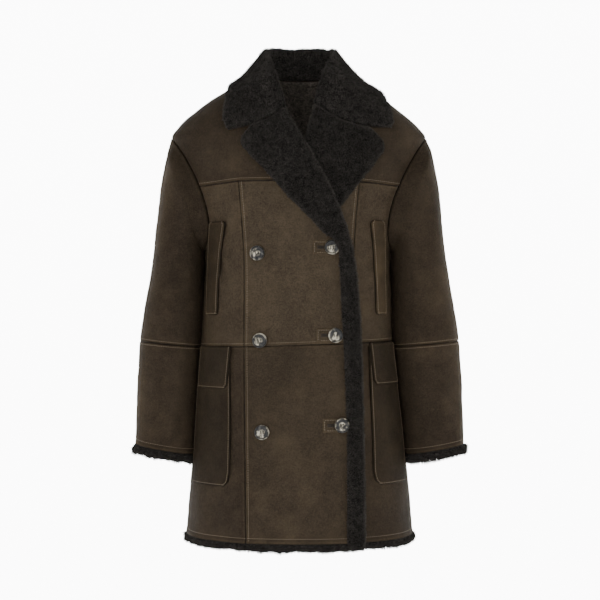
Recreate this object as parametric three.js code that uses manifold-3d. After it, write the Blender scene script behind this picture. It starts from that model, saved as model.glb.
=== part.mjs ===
// Double-breasted shearling coat, filled out as if worn, in millimetres.
// +Z is up, the front faces -Y, and the wearer's right side is at -X.
// The origin lies inside the coat between the shoulders, where the wearer carries it.
import * as THREE from 'three';
import Module from 'manifold-3d';
import { mergeVertices } from 'three/addons/utils/BufferGeometryUtils.js';

const wasm = await Module();
wasm.setup();

// Sheepskin, and how its pieces meet
const WALL = 6; // skin and clipped fleece together
const SEAM = 0.3; // between two pieces at a seam
const HALF_SEAM = SEAM / 2;
const LAID_GAP = 0.4; // between a piece and what it lies on
const LAPEL_PILE = 8.5; // long fleece of lapels and front band
const COLLAR_PILE = 10;
const PILE_ROUND = 8; // rounding of a fleece edge
const RIM_SHARE = 0.35; // of a rounded edge's thickness that is left at its rim
const POCKET_SKIN = 3.5; // patch, flap and welt
const HOLE_PATCH_SKIN = 1.4;
const BED_SINK = 3; // how deep a laid piece reaches before it is trimmed to what it lies on
const BED_MARGIN = 0.18; // degrees round the body
const TRIM_TOLERANCE = 0.05;

// Heights of the seams
const NECK_Z = 45;
const YOKE_Z = -161;
const WAIST_Z = -449;
const HEM_Z = -795;
const HEM_PILE_DROP = 11;
const CUFF_PILE_DROP = 14;
const CUFF_PILE_FLARE = 2.5;
const WAIST_SLOPE = 0.03; // the waist seam rises towards the wearer's left
const WAIST_SLOPE_REACH = 70;

// Level sections of the body: half widths on the wearer's right and left, depths to front and back
const SECTION_POWER = 2.4;
const BODY_COLUMNS = ['z', 'right', 'left', 'front', 'back'];
const BODY_SECTIONS = [
  [45, 80, 80, 58, 72],
  [25, 118, 116, 66, 82],
  [5, 152, 150, 76, 92],
  [-10, 175, 170, 84, 99],
  [-25, 194, 188, 90, 105],
  [-40, 212, 206, 97, 110],
  [-55, 225, 221, 103, 115],
  [-72, 236, 233, 109, 120],
  [-108, 226, 225, 117, 127],
  [-155, 206, 205, 127, 132],
  [-190, 192, 189, 133, 133],
  [-226, 180, 177, 137, 132],
  [-261, 175, 169, 139, 130],
  [-338, 175, 168, 141, 128],
  [-453, 180, 172, 144, 126],
  [-533, 184, 178, 146, 128],
  [-592, 185, 184, 148, 130],
  [-650, 188, 188, 150, 132],
  [-690, 195, 195, 152, 134],
  [-734, 202, 202, 154, 136],
  [-806, 209, 209, 157, 139],
];

// Oval armhole: heights, and the angle that it takes of the body's front and back
const ARMHOLE = { middle: -176, half: 104, front: 29.5, back: 27, power: 2.4 };
const ARMHOLE_CLEAR = { panel: 0.08, sleeve: 0.01 }; // degrees, and a share of the angle
const ARMHOLE_LEVELS = [-72, -77, -95, -126, YOKE_Z, -200, -236, -262, -276, -280];

// Creases where each front turns back, which run on as the front edges below the lapels
// Columns: z, x
const RIGHT_CREASE = [
  [45, -47],
  [9, -36],
  [-19, -28],
  [-55, -11],
  [-81, 1],
  [-133, 27],
  [-168, 46],
  [-217, 66],
  [-251, 78],
  [-292, 90],
  [-370, 99],
  [-498, 104.5],
  [-790, 109.5],
];
const LEFT_CREASE = [
  [45, 47],
  [9, 35],
  [-19, 27],
  [-55, 18],
  [-81, 10],
  [-133, -13],
  [-168, -33],
  [-217, -54],
  [-292, -76],
  [-370, -82],
  [-790, -84],
];

// Upright front seams, as far from the middle on both sides. Columns: z, x
const FRONT_SEAM = [
  [-161, 106],
  [-222, 100],
  [-300, 95],
  [-450, 95],
  [-790, 92],
];

// The right front laps over the left: how far it stands out, and between which x and z it rises
const LAP = { fromX: -150, toX: -100, fromZ: -20, toZ: -80 };
const LAP_OVER_LAPEL = { near: 30, far: 80, fromZ: -45, toZ: -82, endZ: -228, offZ: -262 };

// Sleeve rings from the shoulder to the cuff edge. Outer and inner are the ring's two ends seen
// from the front. The inner end stays clear of the body, which differs a little on each side.
// Columns: outer x, outer z, inner x on the right, inner x on the left, inner z, half depth, middle y
const SLEEVE_RINGS = [
  [243, -94, 178, 172.5, -287, 86, 0],
  [250, -128, 177.6, 171.6, -297, 84, 0],
  [258, -172, 177.2, 170.8, -313, 80, -2],
  [264, -230, 177, 170, -335, 76, -4],
  [271, -298, 177.8, 170.8, -362, 73, -6],
  [279, -354, 179.5, 172, -394, 71, -8],
  [287, -404, 182.5, 174, -428, 70, -11],
  [293, -444, 185.5, 177.4, -455, 69, -14],
  [296, -500, 188.4, 182, -510, 64, -18],
  [298, -565, 190.4, 188.4, -580, 58, -23],
  [300, -631, 193.8, 193.8, -650, 54, -28],
];
const ELBOW_RING = 7;
const SLEEVE_POWER = 2.25;

// Lapels, in rows from the free edge to the crease
// Columns: edge x, edge z, crease x, crease z
const RIGHT_LAPEL = [
  [-76, -56, -25, -25],
  [-95, -76, -16, -46],
  [-104, -87, -9, -60],
  [-101, -98, 1, -78],
  [-48, -156, 18, -107],
  [-14, -195, 41, -150],
  [17, -226, 62, -195],
  [42, -254, 76, -232],
  [57, -264, 84, -254],
  [66, -284, 92, -284],
  [70, -330, 98, -330],
  [73, -400, 104, -400],
  [78, -500, 107, -500],
  [82, -610, 110, -610],
  [82, -720, 112, -720],
  [82, -786, 113, -786],
  [85, -802, 111, -804],
];
const LEFT_LAPEL = [
  [114, -59, 27, -14],
  [139, -77, 22, -38],
  [150, -88, 17, -56],
  [151, -103, 11, -76],
  [126, -136, 4, -104],
  [105, -163, 9, -135],
  [86, -187, 22, -165],
  [68, -210, 41, -205],
  [61, -221, 53, -226],
];

// Collar stations from the right gorge round the neck to the left gorge: the seam on the body, the
// crest of the fold, and the free edge. Near the gorges places are x and z on the front, and round
// the neck they are angles, with the stand's share of its full height.
const COLLAR_STATIONS = [
  { seamX: -26, seamZ: -26, edgeX: -125, edgeZ: -69, stand: 0 },
  { seamX: -31, seamZ: -6, edgeX: -134, edgeZ: -54, stand: 0 },
  { seamX: -37, seamZ: 12, edgeX: -136, edgeZ: -30, stand: 0.1 },
  { seamX: -44, seamZ: 34, edgeX: -133, edgeZ: -8, stand: 0.4 },
  { seamAngle: 125, seamZ: 45, crest: [-49, -46, 55], edgeAngle: 158, edgeZ: 10, stand: 1 },
  { seamAngle: 150, seamZ: 45, crest: [-59, -10, 78], edgeAngle: 182, edgeZ: 13, stand: 1 },
  { seamAngle: 180, seamZ: 45, crest: [-63, 26, 94], edgeAngle: 205, edgeZ: 10, stand: 1 },
  { seamAngle: 210, seamZ: 45, crest: [-54, 60, 101], edgeAngle: 225, edgeZ: 6, stand: 1 },
  { seamAngle: 240, seamZ: 45, crest: [-30, 76, 105], edgeAngle: 247, edgeZ: 3, stand: 1 },
  { seamAngle: 270, seamZ: 45, crest: [0, 80, 106], edgeAngle: 270, edgeZ: 1, stand: 1 },
  { seamAngle: 300, seamZ: 45, crest: [30, 76, 105], edgeAngle: 293, edgeZ: 0, stand: 1 },
  { seamAngle: 330, seamZ: 45, crest: [54, 60, 101], edgeAngle: 316, edgeZ: -2, stand: 1 },
  { seamAngle: 360, seamZ: 45, crest: [63, 26, 94], edgeAngle: 338, edgeZ: -4, stand: 1 },
  { seamAngle: 390, seamZ: 45, crest: [59, -10, 78], edgeAngle: 360, edgeZ: -6, stand: 1 },
  { seamAngle: 415, seamZ: 45, crest: [49, -46, 55], edgeAngle: 382, edgeZ: -13, stand: 1 },
  { seamX: 44, seamZ: 34, edgeX: 166, edgeZ: -27, stand: 0.4 },
  { seamX: 37, seamZ: 12, edgeX: 169, edgeZ: -41, stand: 0.1 },
  { seamX: 32, seamZ: -4, edgeX: 169, edgeZ: -53, stand: 0 },
  { seamX: 27, seamZ: -19, edgeX: 165, edgeZ: -62, stand: 0 },
];
const COLLAR_STEPS = 4 / 3; // sections for each station
const COLLAR_FALL = [0.12, 0.3, 0.5, 0.72, 0.9, 1];
const GORGE_GAP = 0.6; // between the collar's ends and the lapels
const COLLAR_CLEAR = 1; // above the body, before trimming
const COLLAR_TIP = 0.9; // where the rounding of its free edge begins
const COLLAR_FADE = 1.6; // power at which the fold's height falls away
// The fold's inner face, leaning into the neck: for a flat collar, and what a full stand adds
const COLLAR_FOLD = { foot: [2, 7], middle: [0, 1.5], brow: [1.5, 5], browDrop: [2.5, 3], crest: [1, 6] };
const COLLAR_MIDDLE = 0.55; // of the way from the foot to the crest
const GORGE_DIP = { right: 14, left: 19, reach: 2.5 }; // the gorge bends down to the notch

// Pockets on the fronts: rows of z, then x of the inner and outer upright edges
const CHEST_WELT = {
  right: [[-230, -129, -162], [-285, -137, -165], [-340, -142, -167], [-397, -144, -168]],
  left: [[-228, 125, 153], [-285, 130, 154], [-340, 133, 154], [-396, 135, 155]],
};
const POCKET_FLAP = {
  right: [[-453, -124, -172], [-478, -127, -173], [-502, -130, -174], [-519, -131, -175], [-527, -138, -176]],
  left: [[-446, 122, 164], [-472, 127, 166], [-498, 131, 168], [-512, 133, 170], [-520, 140, 172]],
};
const PATCH_POCKET = {
  right: [[-458, -124, 178], [-540, -125, 183], [-610, -125, 185], [-672, -126, 190], [-690, -130, 193],
    [-698, -140, 193]],
  left: [[-452, 124, 170], [-540, 128, 177], [-610, 131, 184], [-672, 132, 190], [-688, 136, 193],
    [-696, 146, 193]],
};

// Horn buttons: places on the right front, top to bottom
const BUTTON = { radius: 13, height: 4.6, bevel: 1.2, holeRadius: 1.1, holeOffset: 2.6, sides: 16 };
const BUTTON_DISH = { rimWidth: 3, rimDip: 0.2, radius: 8.4, depth: 1.4, middle: 1.5 };
const BED_SIDES = 20;
const HOLE_SIDES = 5;
const OVER_BUTTON = { near: 3, far: 20 }; // the band rises over a button between these
const BUTTON_PLACES = {
  right: [[-72, -288], [-68, -441], [-64, -601]],
  left: [[55, -278], [61, -432], [72, -589]],
};
const HOLE_PATCH = { width: 38, height: 24, reachPastButton: 6 };

const LEATHER = new THREE.MeshStandardMaterial({ color: 0x42362a, roughness: 0.72, metalness: 0 });
const POCKET_LEATHER = new THREE.MeshStandardMaterial({ color: 0x3a3025, roughness: 0.72, metalness: 0 });
const FLEECE = new THREE.MeshStandardMaterial({ color: 0x1e1b19, roughness: 0.95, metalness: 0 });
const HORN = new THREE.MeshStandardMaterial({ color: 0x6f6a60, roughness: 0.3, metalness: 0 });

const DEG = Math.PI / 180;
const coat = new THREE.Group();

function mix(from, to, share) {
  return from + (to - from) * share;
}

function smoothStep(from, to, value) {
  const share = Math.min(1, Math.max(0, (value - from) / (to - from)));
  return share * share * (3 - 2 * share);
}

function steps(count) {
  return Array.from({ length: count + 1 }, (_, i) => i / count);
}

// Cubic between two values with the slopes given at each
function cubic(from, to, slopeFrom, slopeTo, share) {
  const s2 = share * share;
  const s3 = s2 * share;
  return (2 * s3 - 3 * s2 + 1) * from + (s3 - 2 * s2 + share) * slopeFrom
    + (3 * s2 - 2 * s3) * to + (s3 - s2) * slopeTo;
}

// A column of a table whose first column is z, falling, read at any z on a smooth curve
function atHeight(rows, z, column = 1) {
  const last = rows.length - 1;
  if (z >= rows[0][0]) return rows[0][column];
  if (z <= rows[last][0]) return rows[last][column];
  const i = rows.findIndex((row) => row[0] <= z) - 1;
  const slope = (k) => {
    const above = rows[Math.max(0, k - 1)];
    const below = rows[Math.min(last, k + 1)];
    return (below[column] - above[column]) / (below[0] - above[0]);
  };
  const span = rows[i + 1][0] - rows[i][0];
  const share = (z - rows[i][0]) / span;
  return cubic(rows[i][column], rows[i + 1][column], slope(i) * span, slope(i + 1) * span, share);
}

// A table read between its rows, place 1.5 being halfway from row 1 to row 2
function atPlace(rows, place) {
  const last = rows.length - 1;
  const i = Math.min(last - 1, Math.floor(place));
  const before = rows[Math.max(0, i - 1)];
  const after = rows[Math.min(last, i + 2)];
  return rows[i].map((value, k) => cubic(
    value, rows[i + 1][k], (rows[i + 1][k] - before[k]) / 2, (after[k] - value) / 2, place - i));
}

// Body surface. The angle is 0 at the wearer's left side, 90 at the front, 180 and 270 on round.
function bodyPoint(angle, z) {
  const c = Math.cos(angle * DEG);
  const s = Math.sin(angle * DEG);
  const half = atHeight(BODY_SECTIONS, z, BODY_COLUMNS.indexOf(c < 0 ? 'right' : 'left'));
  const depth = atHeight(BODY_SECTIONS, z, BODY_COLUMNS.indexOf(s > 0 ? 'front' : 'back'));
  const bend = 2 / SECTION_POWER;
  const x = half * Math.sign(c) * Math.abs(c) ** bend;
  const y = -depth * Math.sign(s) * Math.abs(s) ** bend;
  return new THREE.Vector3(x, y, z);
}

function bodyNormal(angle, z) {
  const along = bodyPoint(angle + 0.5, z).sub(bodyPoint(angle - 0.5, z));
  const up = bodyPoint(angle, z + 1).sub(bodyPoint(angle, z - 1));
  return up.cross(along).normalize();
}

function onBody(angle, z, out) {
  return bodyPoint(angle, z).addScaledVector(bodyNormal(angle, z), out);
}

// Angle of the point of the front at a given x
function angleAt(x, z) {
  const half = atHeight(BODY_SECTIONS, z, BODY_COLUMNS.indexOf(x < 0 ? 'right' : 'left'));
  const share = Math.min(1, Math.abs(x) / half);
  return Math.acos(Math.sign(x) * share ** (SECTION_POWER / 2)) / DEG;
}

// Angle of half a seam gap beside the side or shoulder seam
function sideGap(z) {
  return Math.asin((SEAM / 2 / atHeight(BODY_SECTIONS, z, BODY_COLUMNS.indexOf('front')))
    ** (SECTION_POWER / 2)) / DEG;
}

function armholeAngle(z, widest) {
  const share = Math.abs(z - ARMHOLE.middle) / ARMHOLE.half;
  if (share >= 1) return 0;
  return widest * (1 - share ** ARMHOLE.power) ** (1 / ARMHOLE.power);
}

function edgeOfSide(z, widest) {
  return Math.max(sideGap(z), armholeAngle(z, widest) + ARMHOLE_CLEAR.panel);
}

function rightLift(x, z) {
  const lap = (WALL + LAID_GAP) * smoothStep(LAP.fromX, LAP.toX, x) * smoothStep(LAP.fromZ, LAP.toZ, z);
  const crease = atHeight(RIGHT_CREASE, z);
  const over = smoothStep(crease - LAP_OVER_LAPEL.far, crease - LAP_OVER_LAPEL.near, x)
    * smoothStep(LAP_OVER_LAPEL.fromZ, LAP_OVER_LAPEL.toZ, z)
    * (1 - smoothStep(LAP_OVER_LAPEL.endZ, LAP_OVER_LAPEL.offZ, z));
  return lap + (LAPEL_PILE + 1) * over;
}

const noLift = () => 0;

function waistRise(x, z) {
  return WAIST_SLOPE * x * Math.exp(-(((z - WAIST_Z) / WAIST_SLOPE_REACH) ** 2));
}

// One closed solid from triangles, faces outward
function closedSolid(vertices, faces) {
  let volume = 0;
  for (const [a, b, c] of faces) {
    volume += vertices[a].dot(vertices[b].clone().cross(vertices[c]));
  }
  return new wasm.Manifold(new wasm.Mesh({
    numProp: 3,
    vertProperties: new Float32Array(vertices.flatMap((v) => v.toArray())),
    triVerts: new Uint32Array(faces.flatMap(([a, b, c]) => (volume > 0 ? [a, b, c] : [a, c, b]))),
  }));
}

function geometryOf(solid) {
  const { numProp, vertProperties, triVerts } = solid.getMesh();
  const geometry = new THREE.BufferGeometry();
  const positions = new Float32Array((vertProperties.length / numProp) * 3);
  for (let i = 0; i < positions.length / 3; i += 1) {
    positions.set(vertProperties.slice(i * numProp, i * numProp + 3), 3 * i);
  }
  geometry.setAttribute('position', new THREE.BufferAttribute(positions, 3));
  geometry.setIndex(Array.from(triVerts));
  geometry.computeVertexNormals();
  return geometry;
}

function addPiece(name, material, solid) {
  const mesh = new THREE.Mesh(geometryOf(solid), material);
  mesh.name = name;
  coat.add(mesh);
  return solid;
}

// A piece trimmed to clear what it lies on. Crumbs that the trimming leaves are dropped.
function trimmed(solid, beds) {
  const rest = beds.reduce((left, bed) => left.subtract(bed), solid);
  return rest.decompose().sort((a, b) => b.volume() - a.volume())[0].simplify(TRIM_TOLERANCE);
}

// A wall between an outer and an inner grid of points. A ring closes on itself across its columns.
function wall(outer, inner, ring = false) {
  const rows = outer.length;
  const columns = outer[0].length;
  const vertices = [...outer.flat(), ...inner.flat()];
  const at = (side, i, j) => side * rows * columns + i * columns + (j % columns);
  const faces = [];
  const quad = (a, b, c, d) => faces.push([a, b, c], [a, c, d]);
  const across = ring ? columns : columns - 1;
  for (let i = 0; i < rows - 1; i += 1) {
    for (let j = 0; j < across; j += 1) {
      quad(at(0, i, j), at(0, i, j + 1), at(0, i + 1, j + 1), at(0, i + 1, j));
      quad(at(1, i, j), at(1, i + 1, j), at(1, i + 1, j + 1), at(1, i, j + 1));
    }
  }
  for (let j = 0; j < across; j += 1) {
    quad(at(0, 0, j), at(1, 0, j), at(1, 0, j + 1), at(0, 0, j + 1));
    quad(at(0, rows - 1, j), at(0, rows - 1, j + 1), at(1, rows - 1, j + 1), at(1, rows - 1, j));
  }
  if (!ring) {
    for (let i = 0; i < rows - 1; i += 1) {
      quad(at(0, i, 0), at(0, i + 1, 0), at(1, i + 1, 0), at(1, i, 0));
      const j = columns - 1;
      quad(at(0, i, j), at(1, i, j), at(1, i + 1, j), at(0, i + 1, j));
    }
  }
  return closedSolid(vertices, faces);
}

// A piece of the body's wall: levels of z, and the angles between which it runs at each level.
// Its bed is the same piece a little thicker and taller, to trim what lies on it.
function panel(name, { levels, start, end, columns, lift = noLift, skin = LEATHER }) {
  const side = (rows, out, wider = 0) => rows.map((z) => steps(columns).map((share) => {
    const grow = share === 0 ? -wider : share === 1 ? wider : 0;
    const angle = mix(start(z), end(z), share) + grow;
    const x = bodyPoint(angle, z).x;
    const height = z + waistRise(x, z);
    return onBody(angle, height, lift(x, height) + out);
  }));
  addPiece(name, skin, wall(side(levels, 0), side(levels, -WALL)));
  const taller = levels.map((z, i) => z + (i === 0 ? SEAM : 0) - (i === levels.length - 1 ? SEAM : 0));
  return wall(side(taller, LAID_GAP, BED_MARGIN), side(taller, -WALL - LAID_GAP, BED_MARGIN));
}

// A piece laid on the front: rows of x and z from one edge to the other
function laidPiece({ rows, columns, lift, gap = LAID_GAP, sink = BED_SINK, thick, round = 0 }) {
  const lengthways = [];
  let run = 0;
  rows.forEach(([x, z], i) => {
    if (i > 0) run += Math.hypot(x - rows[i - 1][0], z - rows[i - 1][1]);
    lengthways.push(run);
  });
  const side = (top) => rows.map(([x0, z0, x1, z1], i) => columns.map((share) => {
    const x = mix(x0, x1, share);
    const z = mix(z0, z1, share);
    const width = Math.hypot(x1 - x0, z1 - z0);
    const inset = Math.min(share * width, (1 - share) * width, lengthways[i], run - lengthways[i]);
    const edge = round > 0 ? 1 - Math.min(1, inset / round) : 0;
    const rise = thick * (round > 0 ? mix(RIM_SHARE, 1, Math.sqrt(1 - edge * edge)) : 1);
    return onBody(angleAt(x, z), z, lift(x, z) + gap + (top ? rise : -sink));
  }));
  return wall(side(1), side(0));
}

// Body: yokes, fronts and back, between the seams
const COLUMNS = {
  yoke: 8, rightFront: 10, leftFront: 8, side: 7, back: 14, rightHem: 16,
  leftHem: 14, backHem: 18,
};
const frontSeamAngle = (side, nudge) => (z) => angleAt(side * (atHeight(FRONT_SEAM, z) + nudge), z);
const creaseAngle = (rows) => (z) => angleAt(atHeight(rows, z), z);
const shoulderLevels = [NECK_Z, 30, 13, -5, -23, -42, -58];
const armholeAbove = ARMHOLE_LEVELS.filter((z) => z > YOKE_Z);
const armholeBelow = ARMHOLE_LEVELS.filter((z) => z < YOKE_Z);
const yokeLevels = [...shoulderLevels, ...armholeAbove, YOKE_Z + HALF_SEAM];
const bodyLevels = [-325, -370, -412];
const upperLevels = [YOKE_Z - HALF_SEAM, ...armholeBelow, ...bodyLevels, WAIST_Z + HALF_SEAM];
const lowerLevels = [WAIST_Z - HALF_SEAM, -515, -585, -655, -725, HEM_Z];
const hemLevels = [HEM_Z - SEAM, HEM_Z - HEM_PILE_DROP];

const beds = {
  rightYoke: panel('right_yoke', {
    levels: yokeLevels,
    start: creaseAngle(RIGHT_CREASE),
    end: (z) => 180 - edgeOfSide(z, ARMHOLE.front),
    columns: COLUMNS.yoke,
    lift: rightLift,
  }),
  leftYoke: panel('left_yoke', {
    levels: yokeLevels,
    start: (z) => edgeOfSide(z, ARMHOLE.front),
    end: creaseAngle(LEFT_CREASE),
    columns: COLUMNS.yoke,
  }),
};
for (const [part, levels] of [['upper', upperLevels], ['lower', lowerLevels]]) {
  const rightFront = panel(`right_front_${part}`, {
    levels,
    start: creaseAngle(RIGHT_CREASE),
    end: frontSeamAngle(-1, -HALF_SEAM),
    columns: COLUMNS.rightFront,
    lift: rightLift,
  });
  const rightSide = panel(`right_side_front_${part}`, {
    levels,
    start: frontSeamAngle(-1, HALF_SEAM),
    end: (z) => 180 - edgeOfSide(z, ARMHOLE.front),
    columns: COLUMNS.side,
    lift: rightLift,
  });
  const leftFront = panel(`left_front_${part}`, {
    levels,
    start: frontSeamAngle(1, -HALF_SEAM),
    end: creaseAngle(LEFT_CREASE),
    columns: COLUMNS.leftFront,
  });
  const leftSide = panel(`left_side_front_${part}`, {
    levels,
    start: (z) => edgeOfSide(z, ARMHOLE.front),
    end: frontSeamAngle(1, HALF_SEAM),
    columns: COLUMNS.side,
  });
  beds[`right_${part}`] = [rightFront, rightSide];
  beds[`left_${part}`] = [leftFront, leftSide];
}
const backUpperLevels = [...shoulderLevels, ...ARMHOLE_LEVELS, ...bodyLevels, WAIST_Z + HALF_SEAM];
for (const [part, levels] of [['upper', backUpperLevels], ['lower', lowerLevels]]) {
  beds[`back_${part}`] = panel(`back_${part}`, {
    levels,
    start: (z) => 180 + edgeOfSide(z, ARMHOLE.back),
    end: (z) => 360 - edgeOfSide(z, ARMHOLE.back),
    columns: COLUMNS.back,
  });
}

// Fleece that shows below the hem's cut edge
const rightHem = panel('hem_fleece_right', {
  levels: hemLevels,
  start: creaseAngle(RIGHT_CREASE),
  end: (z) => 180 - sideGap(z),
  columns: COLUMNS.rightHem,
  lift: rightLift,
  skin: FLEECE,
});
panel('hem_fleece_left', {
  levels: hemLevels,
  start: (z) => sideGap(z),
  end: creaseAngle(LEFT_CREASE),
  columns: COLUMNS.leftHem,
  skin: FLEECE,
});
panel('hem_fleece_back', {
  levels: hemLevels,
  start: (z) => 180 + sideGap(z),
  end: (z) => 360 - sideGap(z),
  columns: COLUMNS.backHem,
  skin: FLEECE,
});
const rightBeds = [beds.rightYoke, ...beds.right_upper, ...beds.right_lower, rightHem];
const leftBeds = [beds.leftYoke, ...beds.left_upper, ...beds.left_lower];

// Sleeves: the first ring follows the armhole, the others the table
const sleeveHeights = [
  ...ARMHOLE_LEVELS.map((z) => ({ share: (z - ARMHOLE.middle) / ARMHOLE.half, front: true })),
  ...ARMHOLE_LEVELS.slice(1, -1).reverse()
    .map((z) => ({ share: (z - ARMHOLE.middle) / ARMHOLE.half, front: false })),
];

function armholeRing(side) {
  const half = ARMHOLE.half - SEAM;
  return sleeveHeights.map(({ share, front }) => {
    const z = ARMHOLE.middle + share * half;
    const turn = armholeAngle(z, front ? ARMHOLE.front : ARMHOLE.back) * (1 - ARMHOLE_CLEAR.sleeve);
    const fromLeft = front ? turn : -turn;
    return bodyPoint(side < 0 ? 180 - fromLeft : fromLeft, z);
  });
}

function sleeveRing(side, place) {
  const [outerX, outerZ, innerRight, innerLeft, innerZ, halfDepth, middleY] = atPlace(SLEEVE_RINGS, place);
  const innerX = side < 0 ? innerRight : innerLeft;
  return sleeveHeights.map(({ share, front }) => {
    const across = (1 - Math.abs(share) ** SLEEVE_POWER) ** (1 / SLEEVE_POWER);
    const x = side * (mix(innerX, outerX, (1 + share) / 2));
    const z = mix(innerZ, outerZ, (1 + share) / 2);
    return new THREE.Vector3(x, middleY + (front ? -1 : 1) * halfDepth * across, z);
  });
}

function ringMiddle(ring) {
  const sum = ring.reduce((total, point) => total.add(point), new THREE.Vector3());
  return sum.divideScalar(ring.length);
}

// Points of a tube moved in by the wall, square to its surface
function tubeInside(rings, depth, side) {
  return rings.map((ring, i) => ring.map((point, j) => {
    const count = ring.length;
    const around = ring[(j + 1) % count].clone().sub(ring[(j + count - 1) % count]);
    const next = rings[Math.min(rings.length - 1, i + 1)][j];
    const along = next.clone().sub(rings[Math.max(0, i - 1)][j]);
    const outward = around.cross(along).normalize().multiplyScalar(side);
    return point.clone().addScaledVector(outward, -depth(i, j));
  }));
}

for (const [hand, side] of [['right', -1], ['left', 1]]) {
  const upperPlaces = steps(9).map((share) => share * ELBOW_RING);
  const lowerEnd = SLEEVE_RINGS.length - 1;
  const lowerPlaces = steps(5).map((share) => mix(ELBOW_RING, lowerEnd, share));
  const allRings = [armholeRing(side), ...upperPlaces.map((place) => sleeveRing(side, place)),
    ...lowerPlaces.slice(1).map((place) => sleeveRing(side, place))];
  const inside = tubeInside(allRings, () => WALL, side);
  const middle = ringMiddle(allRings[0]);
  inside[0] = allRings[0].map((point) => {
    const inward = middle.clone().sub(point).normalize();
    return point.clone().addScaledVector(inward, WALL);
  });
  const elbow = upperPlaces.length;
  const drop = new THREE.Vector3(0, 0, -SEAM);
  const lowered = (ring) => ring.map((point) => point.clone().add(drop));
  addPiece(`${hand}_sleeve_upper`, LEATHER,
    wall(allRings.slice(0, elbow + 1), inside.slice(0, elbow + 1), true));
  addPiece(`${hand}_sleeve_lower`, LEATHER,
    wall([lowered(allRings[elbow]), ...allRings.slice(elbow + 1)],
      [lowered(inside[elbow]), ...inside.slice(elbow + 1)], true));
  const cuff = allRings[allRings.length - 1];
  const cuffInside = inside[inside.length - 1];
  const pileDrop = new THREE.Vector3(0, 0, -CUFF_PILE_DROP);
  const flared = cuff.map((point, j) => {
    const outward = point.clone().sub(cuffInside[j]).normalize();
    const flare = CUFF_PILE_FLARE * (1 + sleeveHeights[j].share) / 2;
    return point.clone().addScaledVector(outward, flare).add(pileDrop);
  });
  addPiece(`cuff_fleece_${hand}`, FLEECE, wall([lowered(cuff), flared],
    [lowered(cuffInside), cuffInside.map((point) => point.clone().add(pileDrop))], true));
}

// Collar: filled between the body below it and the folded fleece above it
function ofStand([flat, added], stand) {
  return flat + added * stand;
}

function collarStation(station, index) {
  const count = COLLAR_STATIONS.length - 1;
  const onRight = index < count / 2;
  const lift = onRight ? rightLift : noLift;
  const turn = onRight ? 0 : 360;
  const seamAngle = station.seamAngle ?? angleAt(station.seamX, station.seamZ) + turn;
  const edgeAngle = station.edgeAngle ?? angleAt(station.edgeX, station.edgeZ) + turn;
  const seam = onBody(seamAngle, station.seamZ, lift(station.seamX ?? 0, station.seamZ));
  const normal = bodyNormal(seamAngle, station.seamZ);
  const crest = station.crest ? new THREE.Vector3(...station.crest)
    : seam.clone().addScaledVector(normal, COLLAR_PILE + ofStand(COLLAR_FOLD.crest, station.stand));
  return [seamAngle, station.seamZ, crest.x, crest.y, crest.z, edgeAngle, station.edgeZ, station.stand];
}
const collarRows = COLLAR_STATIONS.map(collarStation);

function collarSection(place) {
  const [seamAngle, seamZ, crestX, crestY, crestZ, edgeAngle, edgeZ, stand] = atPlace(collarRows, place);
  const last = COLLAR_STATIONS.length - 1;
  const onRight = place < last / 2;
  const lift = onRight ? rightLift : noLift;
  const nearGorge = Math.max(0, 1 - Math.min(place, last - place) / GORGE_DIP.reach);
  const dip = (onRight ? GORGE_DIP.right : GORGE_DIP.left) * nearGorge ** 1.5;
  const below = (share, out) => {
    const angle = mix(seamAngle, edgeAngle, share);
    const z = mix(seamZ, edgeZ, share) - dip * Math.sin(Math.PI * share ** 0.8);
    const x = bodyPoint(angle, z).x;
    return { point: onBody(angle, z, lift(x, z) + out), normal: bodyNormal(angle, z) };
  };
  const root = below(0, LAID_GAP).point;
  root.z += LAID_GAP;
  const edge = below(1, COLLAR_CLEAR).point;
  const crest = new THREE.Vector3(crestX, crestY, crestZ);
  const inward = new THREE.Vector3(root.x - edge.x, root.y - edge.y, 0).normalize();
  const foot = root.clone().addScaledVector(inward, ofStand(COLLAR_FOLD.foot, stand));
  const middle = foot.clone().lerp(crest, COLLAR_MIDDLE)
    .addScaledVector(inward, ofStand(COLLAR_FOLD.middle, stand));
  const brow = crest.clone().addScaledVector(inward, ofStand(COLLAR_FOLD.brow, stand));
  brow.z -= ofStand(COLLAR_FOLD.browDrop, stand);
  const top = [foot, middle, brow, crest];
  const hump = crest.clone().sub(root);
  const undersides = [];
  for (const share of COLLAR_FALL) {
    const { point, normal } = below(share, COLLAR_CLEAR);
    const fade = (1 - share) ** COLLAR_FADE;
    const pastTip = Math.max(0, (share - COLLAR_TIP) / (1 - COLLAR_TIP));
    const tip = mix(RIM_SHARE, 1, Math.sqrt(1 - pastTip ** 2));
    top.push(point.clone().addScaledVector(hump, fade)
      .addScaledVector(normal, COLLAR_PILE * (1 - fade) * tip));
    undersides.push(point);
  }
  return [...top, ...undersides.reverse(), root];
}

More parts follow.
